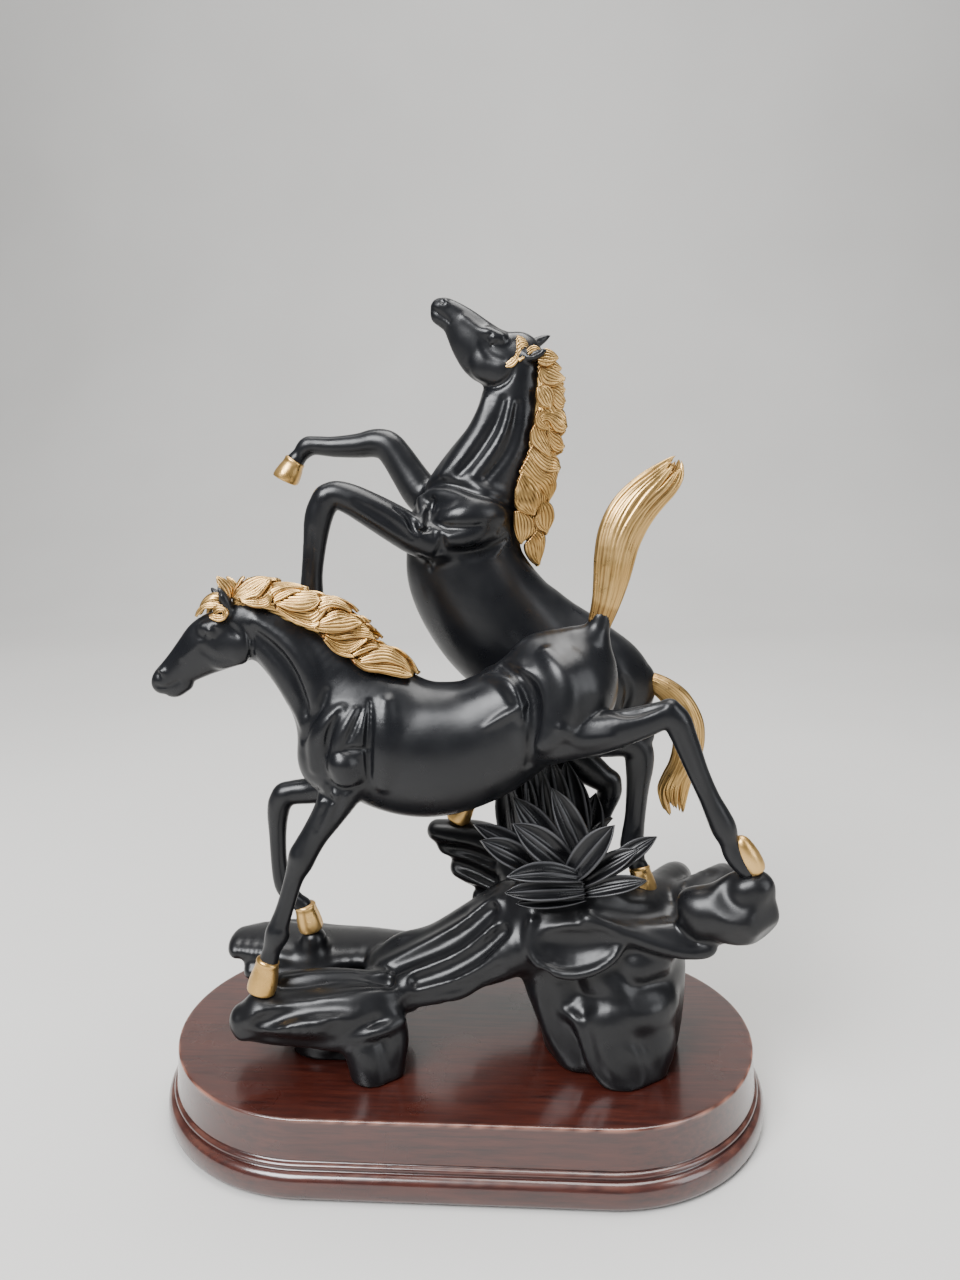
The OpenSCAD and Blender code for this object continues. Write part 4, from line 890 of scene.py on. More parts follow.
def front_tail():
    return tail("FrontTail", "front_tail",
                [(37.4, -14, 133), (38.9, -13.5, 141.2), (39.2, -13, 149.7), (40.2, -12.5, 158.1),
                 (42.8, -12, 164.8),
                 (46.7, -11.5, 169.6), (51.4, -11, 173.4), (55.8, -10.5, 176), (59.8, -10, 178)],
                [(42.3, -14, 131.4), (45.2, -13.4, 139.1), (47.4, -12.8, 146.5), (49.2, -12.1, 152.8),
                 (52.2, -11.5, 158.9),
                 (56, -10.9, 163.9), (59.6, -10.2, 167.8), (62, -9.6, 172.4), (61.6, -9, 176.6)], 3.2,
                ((0, 6), (1, 8), (-1, 9)))


def rear_tail():
    return tail("RearTail", "rear_tail",
                [(55.6, 20, 110.4), (61.3, 19.4, 109.2), (67.5, 18.8, 105.6), (71.6, 18.1, 100.9),
                 (74.3, 17.5, 94),
                 (74, 16.9, 86.8), (72.6, 16.2, 81.6), (70.6, 15.6, 75.4), (69.4, 15, 66.4)],
                [(54.2, 20, 107.6), (58, 19.4, 106.2), (62.4, 18.8, 102.6), (65.6, 18.1, 97.6),
                 (67, 17.5, 90.3),
                 (66, 16.9, 82.9), (63.2, 16.2, 77.6), (61.3, 15.6, 71.7), (64.4, 15, 65.4)], 3.2,
                ((0, 6), (1, 8), (-1, 9)))


def rear_mane():
    hair = Hair()
    y = 20
    core = [(21, y, 208), (24.2, y, 203), (25, y, 197), (25, y, 190.4), (24, y, 183.6), (22.6, y, 176.4),
            (21, y, 169), (20.4, y, 161.8), (20.8, y, 154.4), (22.4, y, 148)]
    hair.lock(core, 4.6, (0, -1, 0), flat=1.0, grooves=11, sides=66, rings=70, blunt=0.45, root=0.5,
              depth=0.13, twist=3.4)
    bunches(hair, [
        ((17, 17, 22.4, 207.7, 24.7, 208.6, 26.9, 208, 28.3, 206.9, 28.6, 206.2), (15, 17, 22.7, 204.5,
        24.5, 204, 26.2, 204.4, 27.9, 205.3, 28.5, 205.9), 0.5),
        ((16.6, 18, 23.6, 204.1, 26.8, 203.3, 29.2, 201.8, 30.9, 200.5), (14.6, 17, 22.7, 201.9, 24.2,
        199.2, 27.4, 198.4, 30.7, 199.9), 0.45),
        ((17, 18, 26.3, 198.6, 28.4, 197.5, 30.2, 195.5, 31, 193.9), (15.6, 17.4, 26.3, 195, 27.5, 192.9,
        29.3, 191.5, 30.8, 193.3), 0.45),
        ((15.4, 15.6, 24, 198.7, 26.3, 197.3, 27.1, 194.7, 26.8, 192.3), (14, 14.6, 22.3, 197.7, 22.4,
        195.2, 24, 192.4, 26.2, 191.7), 0.45),
        ((16, 18, 22.8, 191.1, 26.3, 191.5, 28.7, 191.5, 30.6, 190.1, 31.4, 186.5), (15, 17, 23.4, 187.3,
        25.7, 188.4, 28.1, 185.5, 29.9, 184.9, 31.3, 185.9), 0.42),
        ((15, 15.4, 22.8, 191.9, 23.4, 189.6, 24.9, 187.3, 25.8, 185.8), (14, 14.6, 21.7, 188.7, 22.2,
        187.2, 23.4, 185.8, 25.5, 185.4), 0.45),
        ((16.4, 18, 24.1, 187.6, 27.1, 185, 29.4, 183.5, 30.7, 180.7), (15.4, 17, 25.5, 183.2, 26.7, 180.7,
        28.5, 179.4, 30.6, 180.1), 0.45),
        ((15.4, 15.4, 22.5, 189, 24.3, 184.9, 26.1, 181.4, 26.4, 178), (13.8, 14.6, 20.4, 184.9, 21, 182,
        23.4, 179.7, 26, 177.7), 0.42),
        ((15.6, 18, 21.6, 182.1, 25.2, 178.6, 28.5, 177.1, 29.6, 174.6), (14.2, 17, 19.5, 178.7, 22.2,
        175.5, 25.8, 172.9, 29.3, 173.6), 0.42),
        ((15.2, 17.6, 20.4, 179.1, 23.7, 173.5, 27.2, 171.7, 28.1, 168.4, 26.3, 165.2), (13.8, 16.6, 17,
        173.3, 20.5, 170.6, 23.8, 167.9, 25, 166.1, 26.1, 165), 0.42),
        ((14.6, 14.8, 18.2, 174.5, 22.3, 169.1, 23.6, 165, 21.8, 160.7), (13.4, 14.2, 15.9, 168, 16.5,
        163.8, 19, 161.3, 21.4, 160.3), 0.42),
        ((16.8, 17.4, 24.2, 165.3, 26.8, 163, 27.4, 158.8, 25.7, 155), (15.4, 16.4, 22.9, 163.7, 22.7,
        159.8, 23.3, 156.8, 25.2, 154.9), 0.45),
        ((15.8, 16.6, 23.5, 161.3, 24.4, 158.3, 25.7, 155.8, 26, 155), (14.8, 15.6, 21.4, 159.9, 22, 157.7,
        23.5, 155.9, 25.7, 154.8), 0.45),
        ((14.6, 14.8, 18.6, 161.7, 21.1, 158.7, 20.6, 154.8, 17.9, 152), (13.4, 14.2, 15.8, 161.8, 16.2,
        156.7, 16.8, 153.5, 17.6, 151.8), 0.45),
        ((16.4, 17.4, 22.9, 156.4, 24.6, 154, 24.5, 149.7, 23.3, 145.2), (14.6, 16.6, 18.8, 151.6, 19.8,
        149.3, 21.3, 146.7, 23, 145.1), 0.42)], y, (-0.3, -1.2))
    return hair.build("RearMane", "rear_mane")


def rear_forelock():
    hair = Hair()
    for upper, lower, puff in (
            ((18, 15.6, 20.3, 211, 18, 212.1, 16.5, 212.3, 16.9, 210.3, 16.2, 207.4, 14.2, 205.4), (16.6,
            15, 20, 208.6, 18.6, 209.1, 17.7, 208.5, 16.9, 206.3, 15.7, 204.8, 13.6, 203.5), 0.5),
            ((17, 15.6, 23.6, 208.6, 22.1, 209.7, 20.3, 209.4, 18.6, 207.7, 16.5, 205.7), (16, 15, 23.3,
            207.3, 21.8, 207.9, 20.3, 207.3, 18.9, 206.2, 17.4, 205.1), 0.5),
            ((15.6, 15, 15.9, 207.1, 14.5, 206, 13.2, 204.8, 13, 203.9), (15, 14.8, 17.1, 205.6, 16, 204.4,
            14.8, 203.6, 13.4, 203.5), 0.5)):
        hair.bunch(strand_edge(*upper), strand_edge(*lower), puff)
    for path, r in (([(20, 20.4, 211), (17.6, 20, 212.8), (15.4, 19.4, 211.4), (14, 18.6, 209)], 1.5),
                    ([(19.6, 22.4, 211.2), (17, 22.8, 212.6), (14.6, 23, 211.6), (13, 23, 209.6)], 1.5)):
        hair.lock(path, r, (0, -0.8, 0.5), grooves=4, rings=18)
    return hair.build("RearForelock", "rear_forelock")


front_mane()
front_forelock()
front_tail()
rear_mane()
rear_forelock()
rear_tail()


# ------------------------------------------------------------------ hooves
WALL = [(-0.06, 0.55), (-0.02, 0.9), (0.02, 1.03), (0.07, 1.05), (0.12, 1.0), (0.25, 1.0), (0.45, 1.04),
        (0.7, 1.05),
        (0.88, 1.02), (0.96, 0.98), (1.0, 0.92), (1.0, 0.8), (0.95, 0.72), (0.93, 0.4), (0.93, 0.02)]
SHELL = [(-0.05, 0.3), (0.0, 0.62), (0.06, 0.82), (0.15, 0.96), (0.3, 1.06), (0.5, 1.1), (0.7, 1.05),
         (0.85, 0.94),
         (0.94, 0.8), (0.99, 0.62), (1.0, 0.4), (1.0, 0.02)]


def hoof(name, node, crown, sole, r_top, r_sole, toe, profile=WALL):
    """A hoof lofted from its coronet to its sole, longer at the toe, with a hollowed sole."""
    crown, sole = np.array(crown, float), np.array(sole, float)
    axis = unit(sole - crown)
    toe = unit(np.array(toe, float) - axis * (np.array(toe, float) @ axis))
    side = np.cross(axis, toe)
    sides, length = 56, np.linalg.norm(sole - crown)
    toe_reach, heel_notch, notch_width, narrow, coronet_slope = 0.07, 0.10, 0.28, 0.94, 0.10
    verts, dark = [], []
    for t, scale in profile:
        r = (r_top + (r_sole - r_top) * min(max(t, 0), 1)) * scale
        for a in 2 * np.pi * np.arange(sides) / sides:
            c, s = math.cos(a), math.sin(a)
            notch = heel_notch * math.exp(-((a - np.pi) / notch_width) ** 2)
            reach = 1.0 + toe_reach * max(c, 0) ** 2 - notch
            slope = coronet_slope * r_sole * c * (1 if t < 0.2 else 0.35)
            verts.append(crown + axis * (t * length - slope) + (toe * c * reach + side * s * narrow) * r
                         + toe * 0.16 * r_sole * t)
            # Painted shade on the sole, at the crown where the leg meets the hoof, and in the groove below
            # the coronet.
            dark.append(0.55 if t > 0.97 or t < 0 else 0.18 if 0.1 < t < 0.18 else 0.0)
    faces = tube_faces(len(profile), sides)
    faces.append(tuple(range(sides - 1, -1, -1)))
    faces.append(tuple((len(profile) - 1) * sides + k for k in range(sides)))
    faces = [tuple(reversed(f)) for f in faces]
    return make_piece(name, verts, faces, GOLD, "gilding", [node], [("crevice_shade", dark)])


for name, node, crown, sole, r_top, r_sole, toe, profile in (
        ("FrontHoofNearFore", "front_hoof_near_fore", (-54.4, -26, 35.4), (-56.2, -26, 25.4), 3.1, 4.3,
         (-1, 0, 0), WALL),
        ("FrontHoofOffFore", "front_hoof_off_fore", (-49.2, -2.2, 41), (-46.8, -1.4, 32.6), 3.1, 3.9,
         (-1, 0, -0.3), WALL),
        ("FrontHoofNearHind", "front_hoof_near_hind", (78.2, -24.9, 74.2), (83.6, -24.8, 64.2), 2.5, 3.0,
         (1, 0, 0.5), SHELL),
        ("FrontHoofOffHind", "front_hoof_off_hind", (53.6, -5.2, 56.8), (56.2, -6, 48.6), 3.1, 3.8,
         (-0.6, -0.6, 0), WALL),
        ("RearHoofNearFore", "rear_hoof_near_fore", (-43, 4, 130.4), (-42, 4, 123), 3.2, 4.0, (-1, 0, 0),
         WALL),
        ("RearHoofOffFore", "rear_hoof_off_fore", (-54.8, 33, 177), (-57.8, 33, 170.4), 3.1, 4.3,
         (-1, 0, 0.2), WALL),
        ("RearHoofNearHind", "rear_hoof_near_hind", (33.6, 11, 42.6), (30.8, 11, 34.6), 3.2, 4.1, (-1, 0, 0),
         WALL),
        ("RearHoofOffHind", "rear_hoof_off_hind", (0, 26, 65), (-2.8, 26, 57.8), 3.2, 3.9, (-1, 0, 0), WALL)):
    hoof(name, node, crown, sole, r_top, r_sole, toe, profile)


# ------------------------------------------------------------------ rock
def rock():
    clay = Clay((-80, -42, -1), (94, 34, 66), 0.7)
    add, cut = clay.add, clay.cut
    # front-left ledge: an overhanging wedge, its folds and the lobe that runs down before it
    add([(-62.6, -27, 18, 3.4, 1.4), (-55, -25, 19, 5.2, 1.7), (-45, -23.6, 18.6, 6.4, 1.7),
         (-34, -22, 19, 7, 1.6), (-23, -19, 20.6, 6.4, 1.4)], 2)
    add([(-62, -26, 15, 4.4, 1.2), (-54, -24, 13, 4.6, 1.4), (-44, -24, 13, 5, 1.4), (-33, -24, 13, 6, 1.3),
         (-23, -21, 13, 7)], 3)
    add([(-44, -12, 8, 9), (-40, -12, -3, 10), (-28, -14, -3, 9), (-26, -14, 9, 8)], 3)
    add([(-29, -25, 14, 6.4), (-26.6, -26.4, 9, 6.8), (-25.2, -27.2, 3.6, 6.6), (-24.8, -27.2, -3, 6.2)], 2)
    add([(-20, -24, 18, 4.4), (-18.6, -25.4, 11, 4.4), (-19.4, -26, 4, 4.2), (-20, -26, -3, 4)], 2)
    add([(-62, -29.6, 13.6, 1.6), (-54, -29, 17, 2.0), (-45, -28, 20.4, 2.6), (-34, -26.4, 22.8, 2.8),
         (-25, -24.4, 24, 2.6), (-18, -22.4, 23, 2.4)], 1.6)
    add([(-52, -18.6, 24, 3.2, 1.3), (-42, -18, 25, 3.2, 1.4), (-32, -17.6, 24.6, 3.2, 1.3),
         (-22, -17.4, 22.6, 3.6, 1.2), (-15, -18, 19.4, 4)], 1.6)
    add([(-36, -29.4, 12.4, 1.8), (-29, -30.6, 14.6, 1.9), (-21, -29.6, 16.4, 1.9), (-16.6, -26.4, 17.4, 2)],
         1.2)
    add([(-57, -26, 20, 5.4, 1.1)], 2, 1)
    # rear-left plate with the nub that carries the lifted fore hoof
    add([(-71.6, 3, 25, 3.8, 2.2), (-60, 6, 24.4, 4.6, 2.7), (-46, 6, 22.4, 4.6, 2.7), (-32, 5, 23, 4.4, 2.5),
         (-20, 3, 24.4, 3.8, 2.2)], 2)
    add([(-66, -4, 19.6, 3, 1.4), (-54, -3, 18.6, 4, 1.4), (-44, -4, 18, 5, 1.3)], 3)
    add([(-54, 5, 17, 7, 1.2), (-46, 6, 8, 8, 1.2), (-42, 6, -3, 8, 1.3)], 4)
    add([(-34, 4, 16, 7), (-30, 4, -3, 7)], 4)
    add([(-47.4, -1.4, 22, 5.6), (-47.2, -1.4, 26.6, 4.4), (-47, -1.4, 28.8, 4.0)], 2.5)
    add([(-38, -14, 10, 9), (-36, 0, 10, 9)], 3)
    add([(-20, -6, 18, 5), (-22, 3, 17, 6)], 3)
    # bridge: folds that climb from the left foot to the leaves
    add([(-26, -16, 20, 5.6, 1.3), (-14, -15.6, 24.4, 5.4, 1.4), (-3, -15, 27.6, 5.8, 1.4),
         (8, -14, 31, 7.4, 1.3), (17, -13, 36, 9, 1.2)], 2)
    add([(-25, -7, 22.6, 5, 1.6), (-12, -7, 29, 5, 1.6), (2, -6, 36, 6, 1.5), (14, -5, 43, 7, 1.4)], 2)
    add([(-17, -19.4, 22.4, 2.4), (-9, -18.6, 27.4, 2.4), (1, -17.4, 32.6, 2.4), (11, -15.6, 40.4, 2.8)], 1.3)
    add([(-24, -12, 25.6, 2.2), (-13, -12, 31.2, 2.4), (0, -11, 38, 2.8), (12, -9.4, 46, 3.6)], 1.3)
    add([(-26, -5, 25, 2.6, 1.4), (-19, -4, 30, 2.6, 1.4), (-8, -3.6, 32.4, 3, 1.4), (2, -4, 38.6, 3.6, 1.4),
         (14, -4, 46.4, 4, 1.3)], 1.6)
    add([(-8, -20.4, 22.6, 2.2), (0, -21, 24, 2.6), (8, -20.6, 29, 2.2), (18, -19.4, 36.4, 2.4)], 1.2)
    add([(-21, -20, 19.6, 3), (-14, -20.4, 20.6, 2.6), (-6, -20.4, 22, 2.4)], 1.4)
    # right-hand pillar
    add([(24, -8, 42, 11, 1.2), (38, -8, 42, 12, 1.2), (52, -7, 42, 10.4, 1.3), (60, -3, 41, 8.6, 1.4)], 4)
    add([(26, -10, 34, 11), (32, -9, 18, 11, 1.2), (36, -8, 6, 11.6, 1.2), (38, -7, -4, 12, 1.2)], 4)
    add([(56, -6, 34, 12, 1.2), (56, -6, 18, 12, 1.2), (55, -5, 4, 12, 1.2), (53, -4, -4, 12, 1.2)], 4)
    add([(36, 8, 34, 10), (34, 12, 16, 10), (34, 13, -4, 11)], 4)
    add([(56, 10, 36, 9), (56, 12, 16, 9), (54, 12, -4, 10)], 4)
    add([(44, -10, 30, 13), (46, -10, 10, 14), (46, -9, -4, 15)], 4)
    # the shell of the bowl, its shoulders and the foot lobe
    add([(27, -17, 39.6, 8.6, 0.9), (34, -18.4, 39.6, 9.4, 0.9), (41, -18, 39.6, 8.4, 0.9)], 2.4)
    add([(21.6, -20.6, 46.4, 1.4), (20.8, -22, 40, 1.6), (23.6, -24.6, 35.4, 1.7), (30.6, -26.4, 33.2, 1.7),
         (38, -26.8, 34.6, 1.7), (44, -25.6, 37.8, 1.6), (47.4, -23.6, 42, 1.4)], 1.5)
    add([(42, -18.6, 29, 6.6), (46, -21, 26.4, 5.4)], 2.4)
    add([(52, -18.4, 33.4, 6.4), (57, -17.6, 35, 6)], 2.4)
    add([(37.4, -21, 18, 5), (45, -22, 19.4, 7), (53.4, -20.6, 20.4, 7.6), (58.4, -18, 21, 6.4)], 2.4)
    add([(43.8, -21.6, 14, 8.4), (46.6, -22.6, 7, 9.4), (48.2, -22.8, 2, 9), (48.4, -22.4, -4, 8.8)], 3.4)
    add([(56, -19.4, 16, 7), (56.8, -20.4, 9, 7), (55.4, -21, 3, 6.6), (54.4, -21, -4, 6.6)], 2.4)
    add([(30, -22.4, 18.6, 1.6), (34.4, -25, 18.2, 1.5), (36.4, -26.6, 13, 1.3), (38.8, -28, 6.6, 1.3),
         (43, -29.8, 1.8, 1.3), (49, -30.4, 0, 1.3)], 2.2)
    add([(27, -16, 22, 6), (30.6, -18, 12, 6), (35, -19, 4, 6)], 3)
    # shelf that runs right to the knob, with its sharp front edge
    add([(40, -14, 46, 7, 1.3), (52, -14, 42.6, 7, 1.4), (62, -14.4, 41, 7, 1.4), (70, -15, 43, 6.4, 1.3),
         (76, -17, 47, 6.4, 1.2)], 2)
    add([(37.6, -21.6, 47.8, 2.4), (47, -22.8, 44.8, 2.4), (57, -23.4, 41.4, 2.4), (66, -23.6, 39.6, 2.4),
         (72, -23.2, 40.6, 2.2), (69, -21.6, 44, 1.8), (65, -20.6, 47.4, 1.8)], 1.3)
    add([(70, -21.6, 49.4, 6), (76, -22.6, 49.8, 6.6), (82, -23, 50.2, 6.6), (85, -22, 51, 5.2)], 2)
    add([(67, -20, 53, 4), (74, -21.6, 54, 5.2), (79.6, -23, 57.8, 5.6), (84.4, -23.8, 59, 4.8)], 5)
    add([(79, -25, 49.6, 4.8), (84.4, -24.6, 50.4, 4.8)], 5)
    add([(78, -20, 46.4, 4.4), (70, -16, 44, 5)], 2)
    # lumps behind
    add([(60, 0, 44, 7, 1.4), (66, 10, 45, 5.6, 1.4), (68, 16, 44, 5)], 3)
    add([(70, -6, 46, 7, 1.4), (80, 4, 47.4, 5.6, 1.4), (82, 10, 46.4, 5)], 3)
    add([(62, 6, 36, 8), (60, 8, 24, 8)], 3)
    # seats of the standing hooves
    add([(56.2, -5.6, 40, 8), (56.4, -5.8, 44.4, 5.4)], 2.5)
    add([(31, 11, 20, 11), (30.8, 11, 30.6, 6.6)], 3)
    # heart that the leaves grow from
    add([(24, -11, 48, 8), (33, -11, 49.6, 8.6), (42, -10, 48, 8)], 3)
    # spike behind with its facets
    add([(-10.4, 26, 54.8, 3.4, 1.5), (-2, 26, 53.6, 4.6, 1.4), (6, 25, 52.6, 5, 1.4), (16, 21, 48, 7, 1.2)],
         1.6)
    add([(-7, 25.4, 50, 3.2, 1.5), (2, 24, 48.6, 4.4, 1.4), (10, 22, 45, 6, 1.2)], 3)
    add([(-2.6, 24, 42.6, 3.4, 1.4), (6, 22, 40.4, 5, 1.3), (14, 20, 38, 6.8, 1.2)], 3)
    add([(5, 21.6, 33, 3.6, 1.4), (12, 19, 31, 6, 1.3), (20, 15, 28, 8)], 1.6)
    add([(18, 14, 44, 7), (24, 10, 30, 8)], 3)
    # scoops that leave the flowing ridges
    cut([(-60, -35.4, 8.6, 3.4), (-50, -35, 9.4, 3.8), (-41, -35, 11, 3.8), (-36, -36, 12, 3)], 1.6)
    cut([(-60, -30, -1, 8), (-50, -30, -2, 9.4), (-41, -33, -2, 8)], 2)
    cut([(-56, -34, 19.6, 2.6), (-46, -33, 23.6, 3), (-36, -32, 24.6, 2.8), (-29, -31.6, 24, 2)], 1.2)
    cut([(-51, -24, 27.6, 2.8), (-40, -22.6, 29, 3), (-30, -21.4, 28.4, 2.8), (-21, -20.4, 26, 2.4)], 1.4)
    cut([(-34, -36, 18.6, 3.6), (-26, -35.6, 21, 3.4), (-19, -32.4, 22.6, 2.6)], 1.2)
    cut([(-68, -12, 27, 4), (-58, -12.4, 27.4, 4), (-49, -12.4, 28, 3.4), (-38, -12, 29, 3.4),
         (-28, -12.4, 29, 2.4)], 1.6)
    cut([(-70, 15, 30, 3), (-54, 15, 30, 3.6), (-38, 14, 30.4, 3.4)], 2)
    cut([(-20, -17, 29, 2.4), (-10, -16.4, 34, 2.6), (1, -15, 39.6, 2.6), (9, -13, 46, 2.4)], 1.1)
    cut([(-23, -8.6, 32, 2.2), (-12, -8.6, 37.4, 2.6), (0, -8, 44.4, 2.6)], 1.1)
    cut([(-12, -22.6, 28, 2.6), (-3, -22, 31.4, 3), (6, -20.6, 36.4, 2.8), (13, -18.6, 42, 2.2)], 1.2)
    cut([(-6, -26, 26, 2.6), (3, -26.6, 27.4, 3), (12, -25.6, 32.6, 2.6)], 1.2)
    cut([(27, -28.6, 42.6, 5.8), (33.6, -30, 42.2, 7.4), (40.6, -29, 43, 5.6)], 1.2)
    cut([(30, -27.6, 27.4, 4), (37, -29, 26, 3.6), (36, -26, 22, 2)], 1.6)
    cut([(48, -31, 35.6, 4.4), (58, -30.6, 33, 5), (66, -28, 31, 5.4)], 2)
    cut([(52.4, -29.6, 27, 3.4), (60, -27, 28, 3.8)], 1.6)
    cut([(44.4, -35.4, 15, 4.2), (48.4, -36, 9, 4.8), (51.6, -35.2, 5, 4)], 3)
    cut([(25, -25, 31, 3), (26, -26, 22, 4.4), (28, -28, 12, 5), (32, -31, 3, 5)], 2)
    cut([(67, -21, 33, 4.6), (74, -13, 33, 8)], 2)
    cut([(43, -22, 53, 3.6), (53, -20, 50.4, 3.6), (61, -17, 50, 3.4)], 2.4)
    cut([(64, -14, 54, 3.4), (70, -8, 55, 4), (75, 0, 55, 3.6)], 2)
    cut([(-9, 19.8, 50.6, 2.0), (0, 18.8, 50, 2.0), (8, 15.6, 48.6, 1.8)], 1.4)
    cut([(-8, 19.6, 45.4, 2.0), (1, 17.8, 44.4, 2.3), (9, 14.4, 42, 2.0)], 1.4)
    cut([(-4, 18.6, 36, 3), (5, 16.6, 36, 2.8), (11, 13.4, 34, 2.2)], 1.0)
    # facets on the knob, each nearly flat
    facet_r = 40
    for x, z, normal, depth in ((75, 56, (-0.1, -0.75, 0.65), 1.1), (84.4, 54, (0.5, -0.85, 0.15), 1.1),
                                (77, 47.6, (-0.1, -0.9, -0.45), 1.0), (86, 48.4, (0.6, -0.6, -0.5), 0.9)):
        skin, out = clay.skin_at(x, z, -1)[0], unit(np.array(normal))
        cut([[*(skin + out * (facet_r - depth)), facet_r]], 0.8, 1)
    add([(83.2, -24.2, 60, 4.2), (81, -24, 59, 4.2)], 3)
    zs = clay.lo[2] + clay.cell * np.arange(clay.n[2])
    clay.d = np.maximum(clay.d, (0.03 - zs)[None, None, :].astype(np.float32))
    return clay


make_piece("Rock", *rock().skin(3), ROCK_BLACK, "black_cast", ["rock"])


# ------------------------------------------------------------------ leaves
class Foliage:
    def __init__(self):
        self.verts, self.faces, self.wear_and_highlight = [], [], []

    def blade(self, root, tip, half, bow, lean, cup=0.30):
        """A broad blade with a raised rim, a channel on each side of its midrib and a pointed tip."""
        root, tip = np.array(root, float), np.array(tip, float)
        length = np.linalg.norm(tip - root)
        way = unit(tip - root)
        lean = np.array(lean, float)
        face = unit(lean - way * (lean @ way))
        side = np.cross(way, face)
        rings, across, rim_at, rib_half, thin = 30, 17, 0.86, 0.12, 0.15
        base = sum(len(v) for v in self.verts)
        us = np.linspace(-1, 1, across)
        verts, wear_and_highlight = [], []
        for i in range(rings):
            t = i / (rings - 1)
            w = half * (0.5 + 0.5 * math.sin(min(1, t / 0.45) * math.pi / 2)) if t < 0.5 else \
                half * max(0.015, 1 - ((t - 0.5) / 0.5) ** 2.4)
            centre = root + (tip - root) * t + face * (bow * length * math.sin(math.pi * t))
            thick = 0.20 * half * (1 - 0.6 * t) + thin
            for back in (0, 1):
                for u in (us if not back else us[::-1][1:-1]):
                    au = abs(u)
                    bend = cup * w * (au * au - 0.4)
                    if not back:
                        rim = 0.9 * thick * math.exp(-((au - rim_at) / 0.10) ** 2)
                        rib = 1.1 * thick * math.exp(-(au / rib_half) ** 2)
                        h = bend + 0.3 * thick + rim + rib
                    else:
                        h = bend - thick * (1.6 - 0.8 * au)
                    verts.append(centre + side * (w * u) + face * h)
                    # Pale painted highlight, partly rubbed wear, on the front face along the rim and the
                    # midrib, stronger towards the tip.
                    edge = math.exp(-((au - 0.88) / 0.07) ** 2)
                    mid = math.exp(-(au / 0.07) ** 2)
                    wear_and_highlight.append(0.0 if back else max(0.9 * edge, 0.75 * mid) * (0.35 + 0.65 * t))
        n = 2 * across - 2
        self.faces += [tuple(base + v for v in f) for f in tube_faces(rings, n)]
        self.faces.append(tuple(base + n - 1 - k for k in range(n)))
        self.faces.append(tuple(base + (rings - 1) * n + k for k in range(n)))
        self.verts.append(np.array(verts))
        self.wear_and_highlight.append(np.array(wear_and_highlight))

    def build(self, name, node):
        return make_piece(name, np.vstack(self.verts), self.faces, LEAF_BLACK, "black_cast", [node],
                          [("wear_and_highlight", np.concatenate(self.wear_and_highlight))])


def rosette():
    leaves = Foliage()
    for root, tip, half, bow, lean in (
            ((23, -17, 60.6), (7, -22, 71.4), 4.0, 0.08, (0.5, -0.8, 0.45)),
            ((33, -16, 60), (16, -20.5, 76), 4.8, 0.07, (0.5, -0.85, 0.3)),
            ((32, -20, 59), (44.5, -22, 76.6), 4.2, 0.05, (-0.35, -0.85, 0.4)),
            ((35.4, -22, 60.4), (14.4, -27, 62.6), 3.6, 0.10, (0, -0.5, 0.85)),
            ((36.4, -23.4, 57.8), (13.8, -28, 58.4), 3.2, 0.06, (0, -0.8, 0.6)),
            ((35, -20, 57.6), (51.6, -20.6, 69), 3.2, 0.06, (-0.3, -0.7, 0.6)),
            ((43, -12, 57), (58, -10, 68.4), 3.2, 0.08, (-0.3, -0.7, 0.6)),
            ((24, -13, 61), (4.6, -15, 73.4), 3.4, 0.06, (0.4, -0.8, 0.5)),
            ((31, -12, 61), (16, -11.6, 80.6), 4.2, 0.05, (0.4, -0.9, 0.2)),
            ((37.4, -12, 60), (27, -12.6, 84), 4.2, 0.05, (0.4, -0.9, 0.2)),
            ((36, -21, 55.4), (54, -23, 60.6), 2.8, 0.05, (0, -0.7, 0.7)),
            ((36.6, -22.4, 55), (17, -26.6, 54.6), 2.6, 0.05, (0, -0.8, 0.6)),
            ((31, -8, 58), (20, 4, 72), 3.6, 0.08, (0.2, 0.7, 0.6)),
            ((36, -6, 57), (46, 6, 68), 3.4, 0.08, (-0.2, 0.7, 0.6))):
        leaves.blade(root, tip, half, bow, lean)
    return leaves.build("RosetteLeaves", "rosette_leaves")


def uprights():
    leaves = Foliage()
    for root, tip, half, bow in (
            ((17, -4, 58), (13, -2, 84.4), 4.2, 0.03), ((22, -4, 58), (17, 0.6, 88), 4.4, 0.03),
            ((27, -5, 58), (21.4, 0.4, 90), 4.6, 0.03), ((32, -5, 58), (26.6, 0.6, 90), 4.6, 0.03),
            ((36.6, -5, 58), (31.6, 1.6, 88), 4.4, 0.03), ((24, 0, 58), (20, 4.6, 84), 4.0, 0.03),
            ((33, 0, 58), (28, 4.8, 85), 4.0, 0.03), ((35, 1, 56), (35, 6, 82), 5.0, 0.03),
            ((37, 2, 54), (41, 5.6, 76), 4.6, 0.03)):
        leaves.blade(root, tip, half, bow, (-0.1, -0.95, 0.1), 0.35)
    return leaves.build("UprightLeaves", "upright_leaves")


rosette()
uprights()


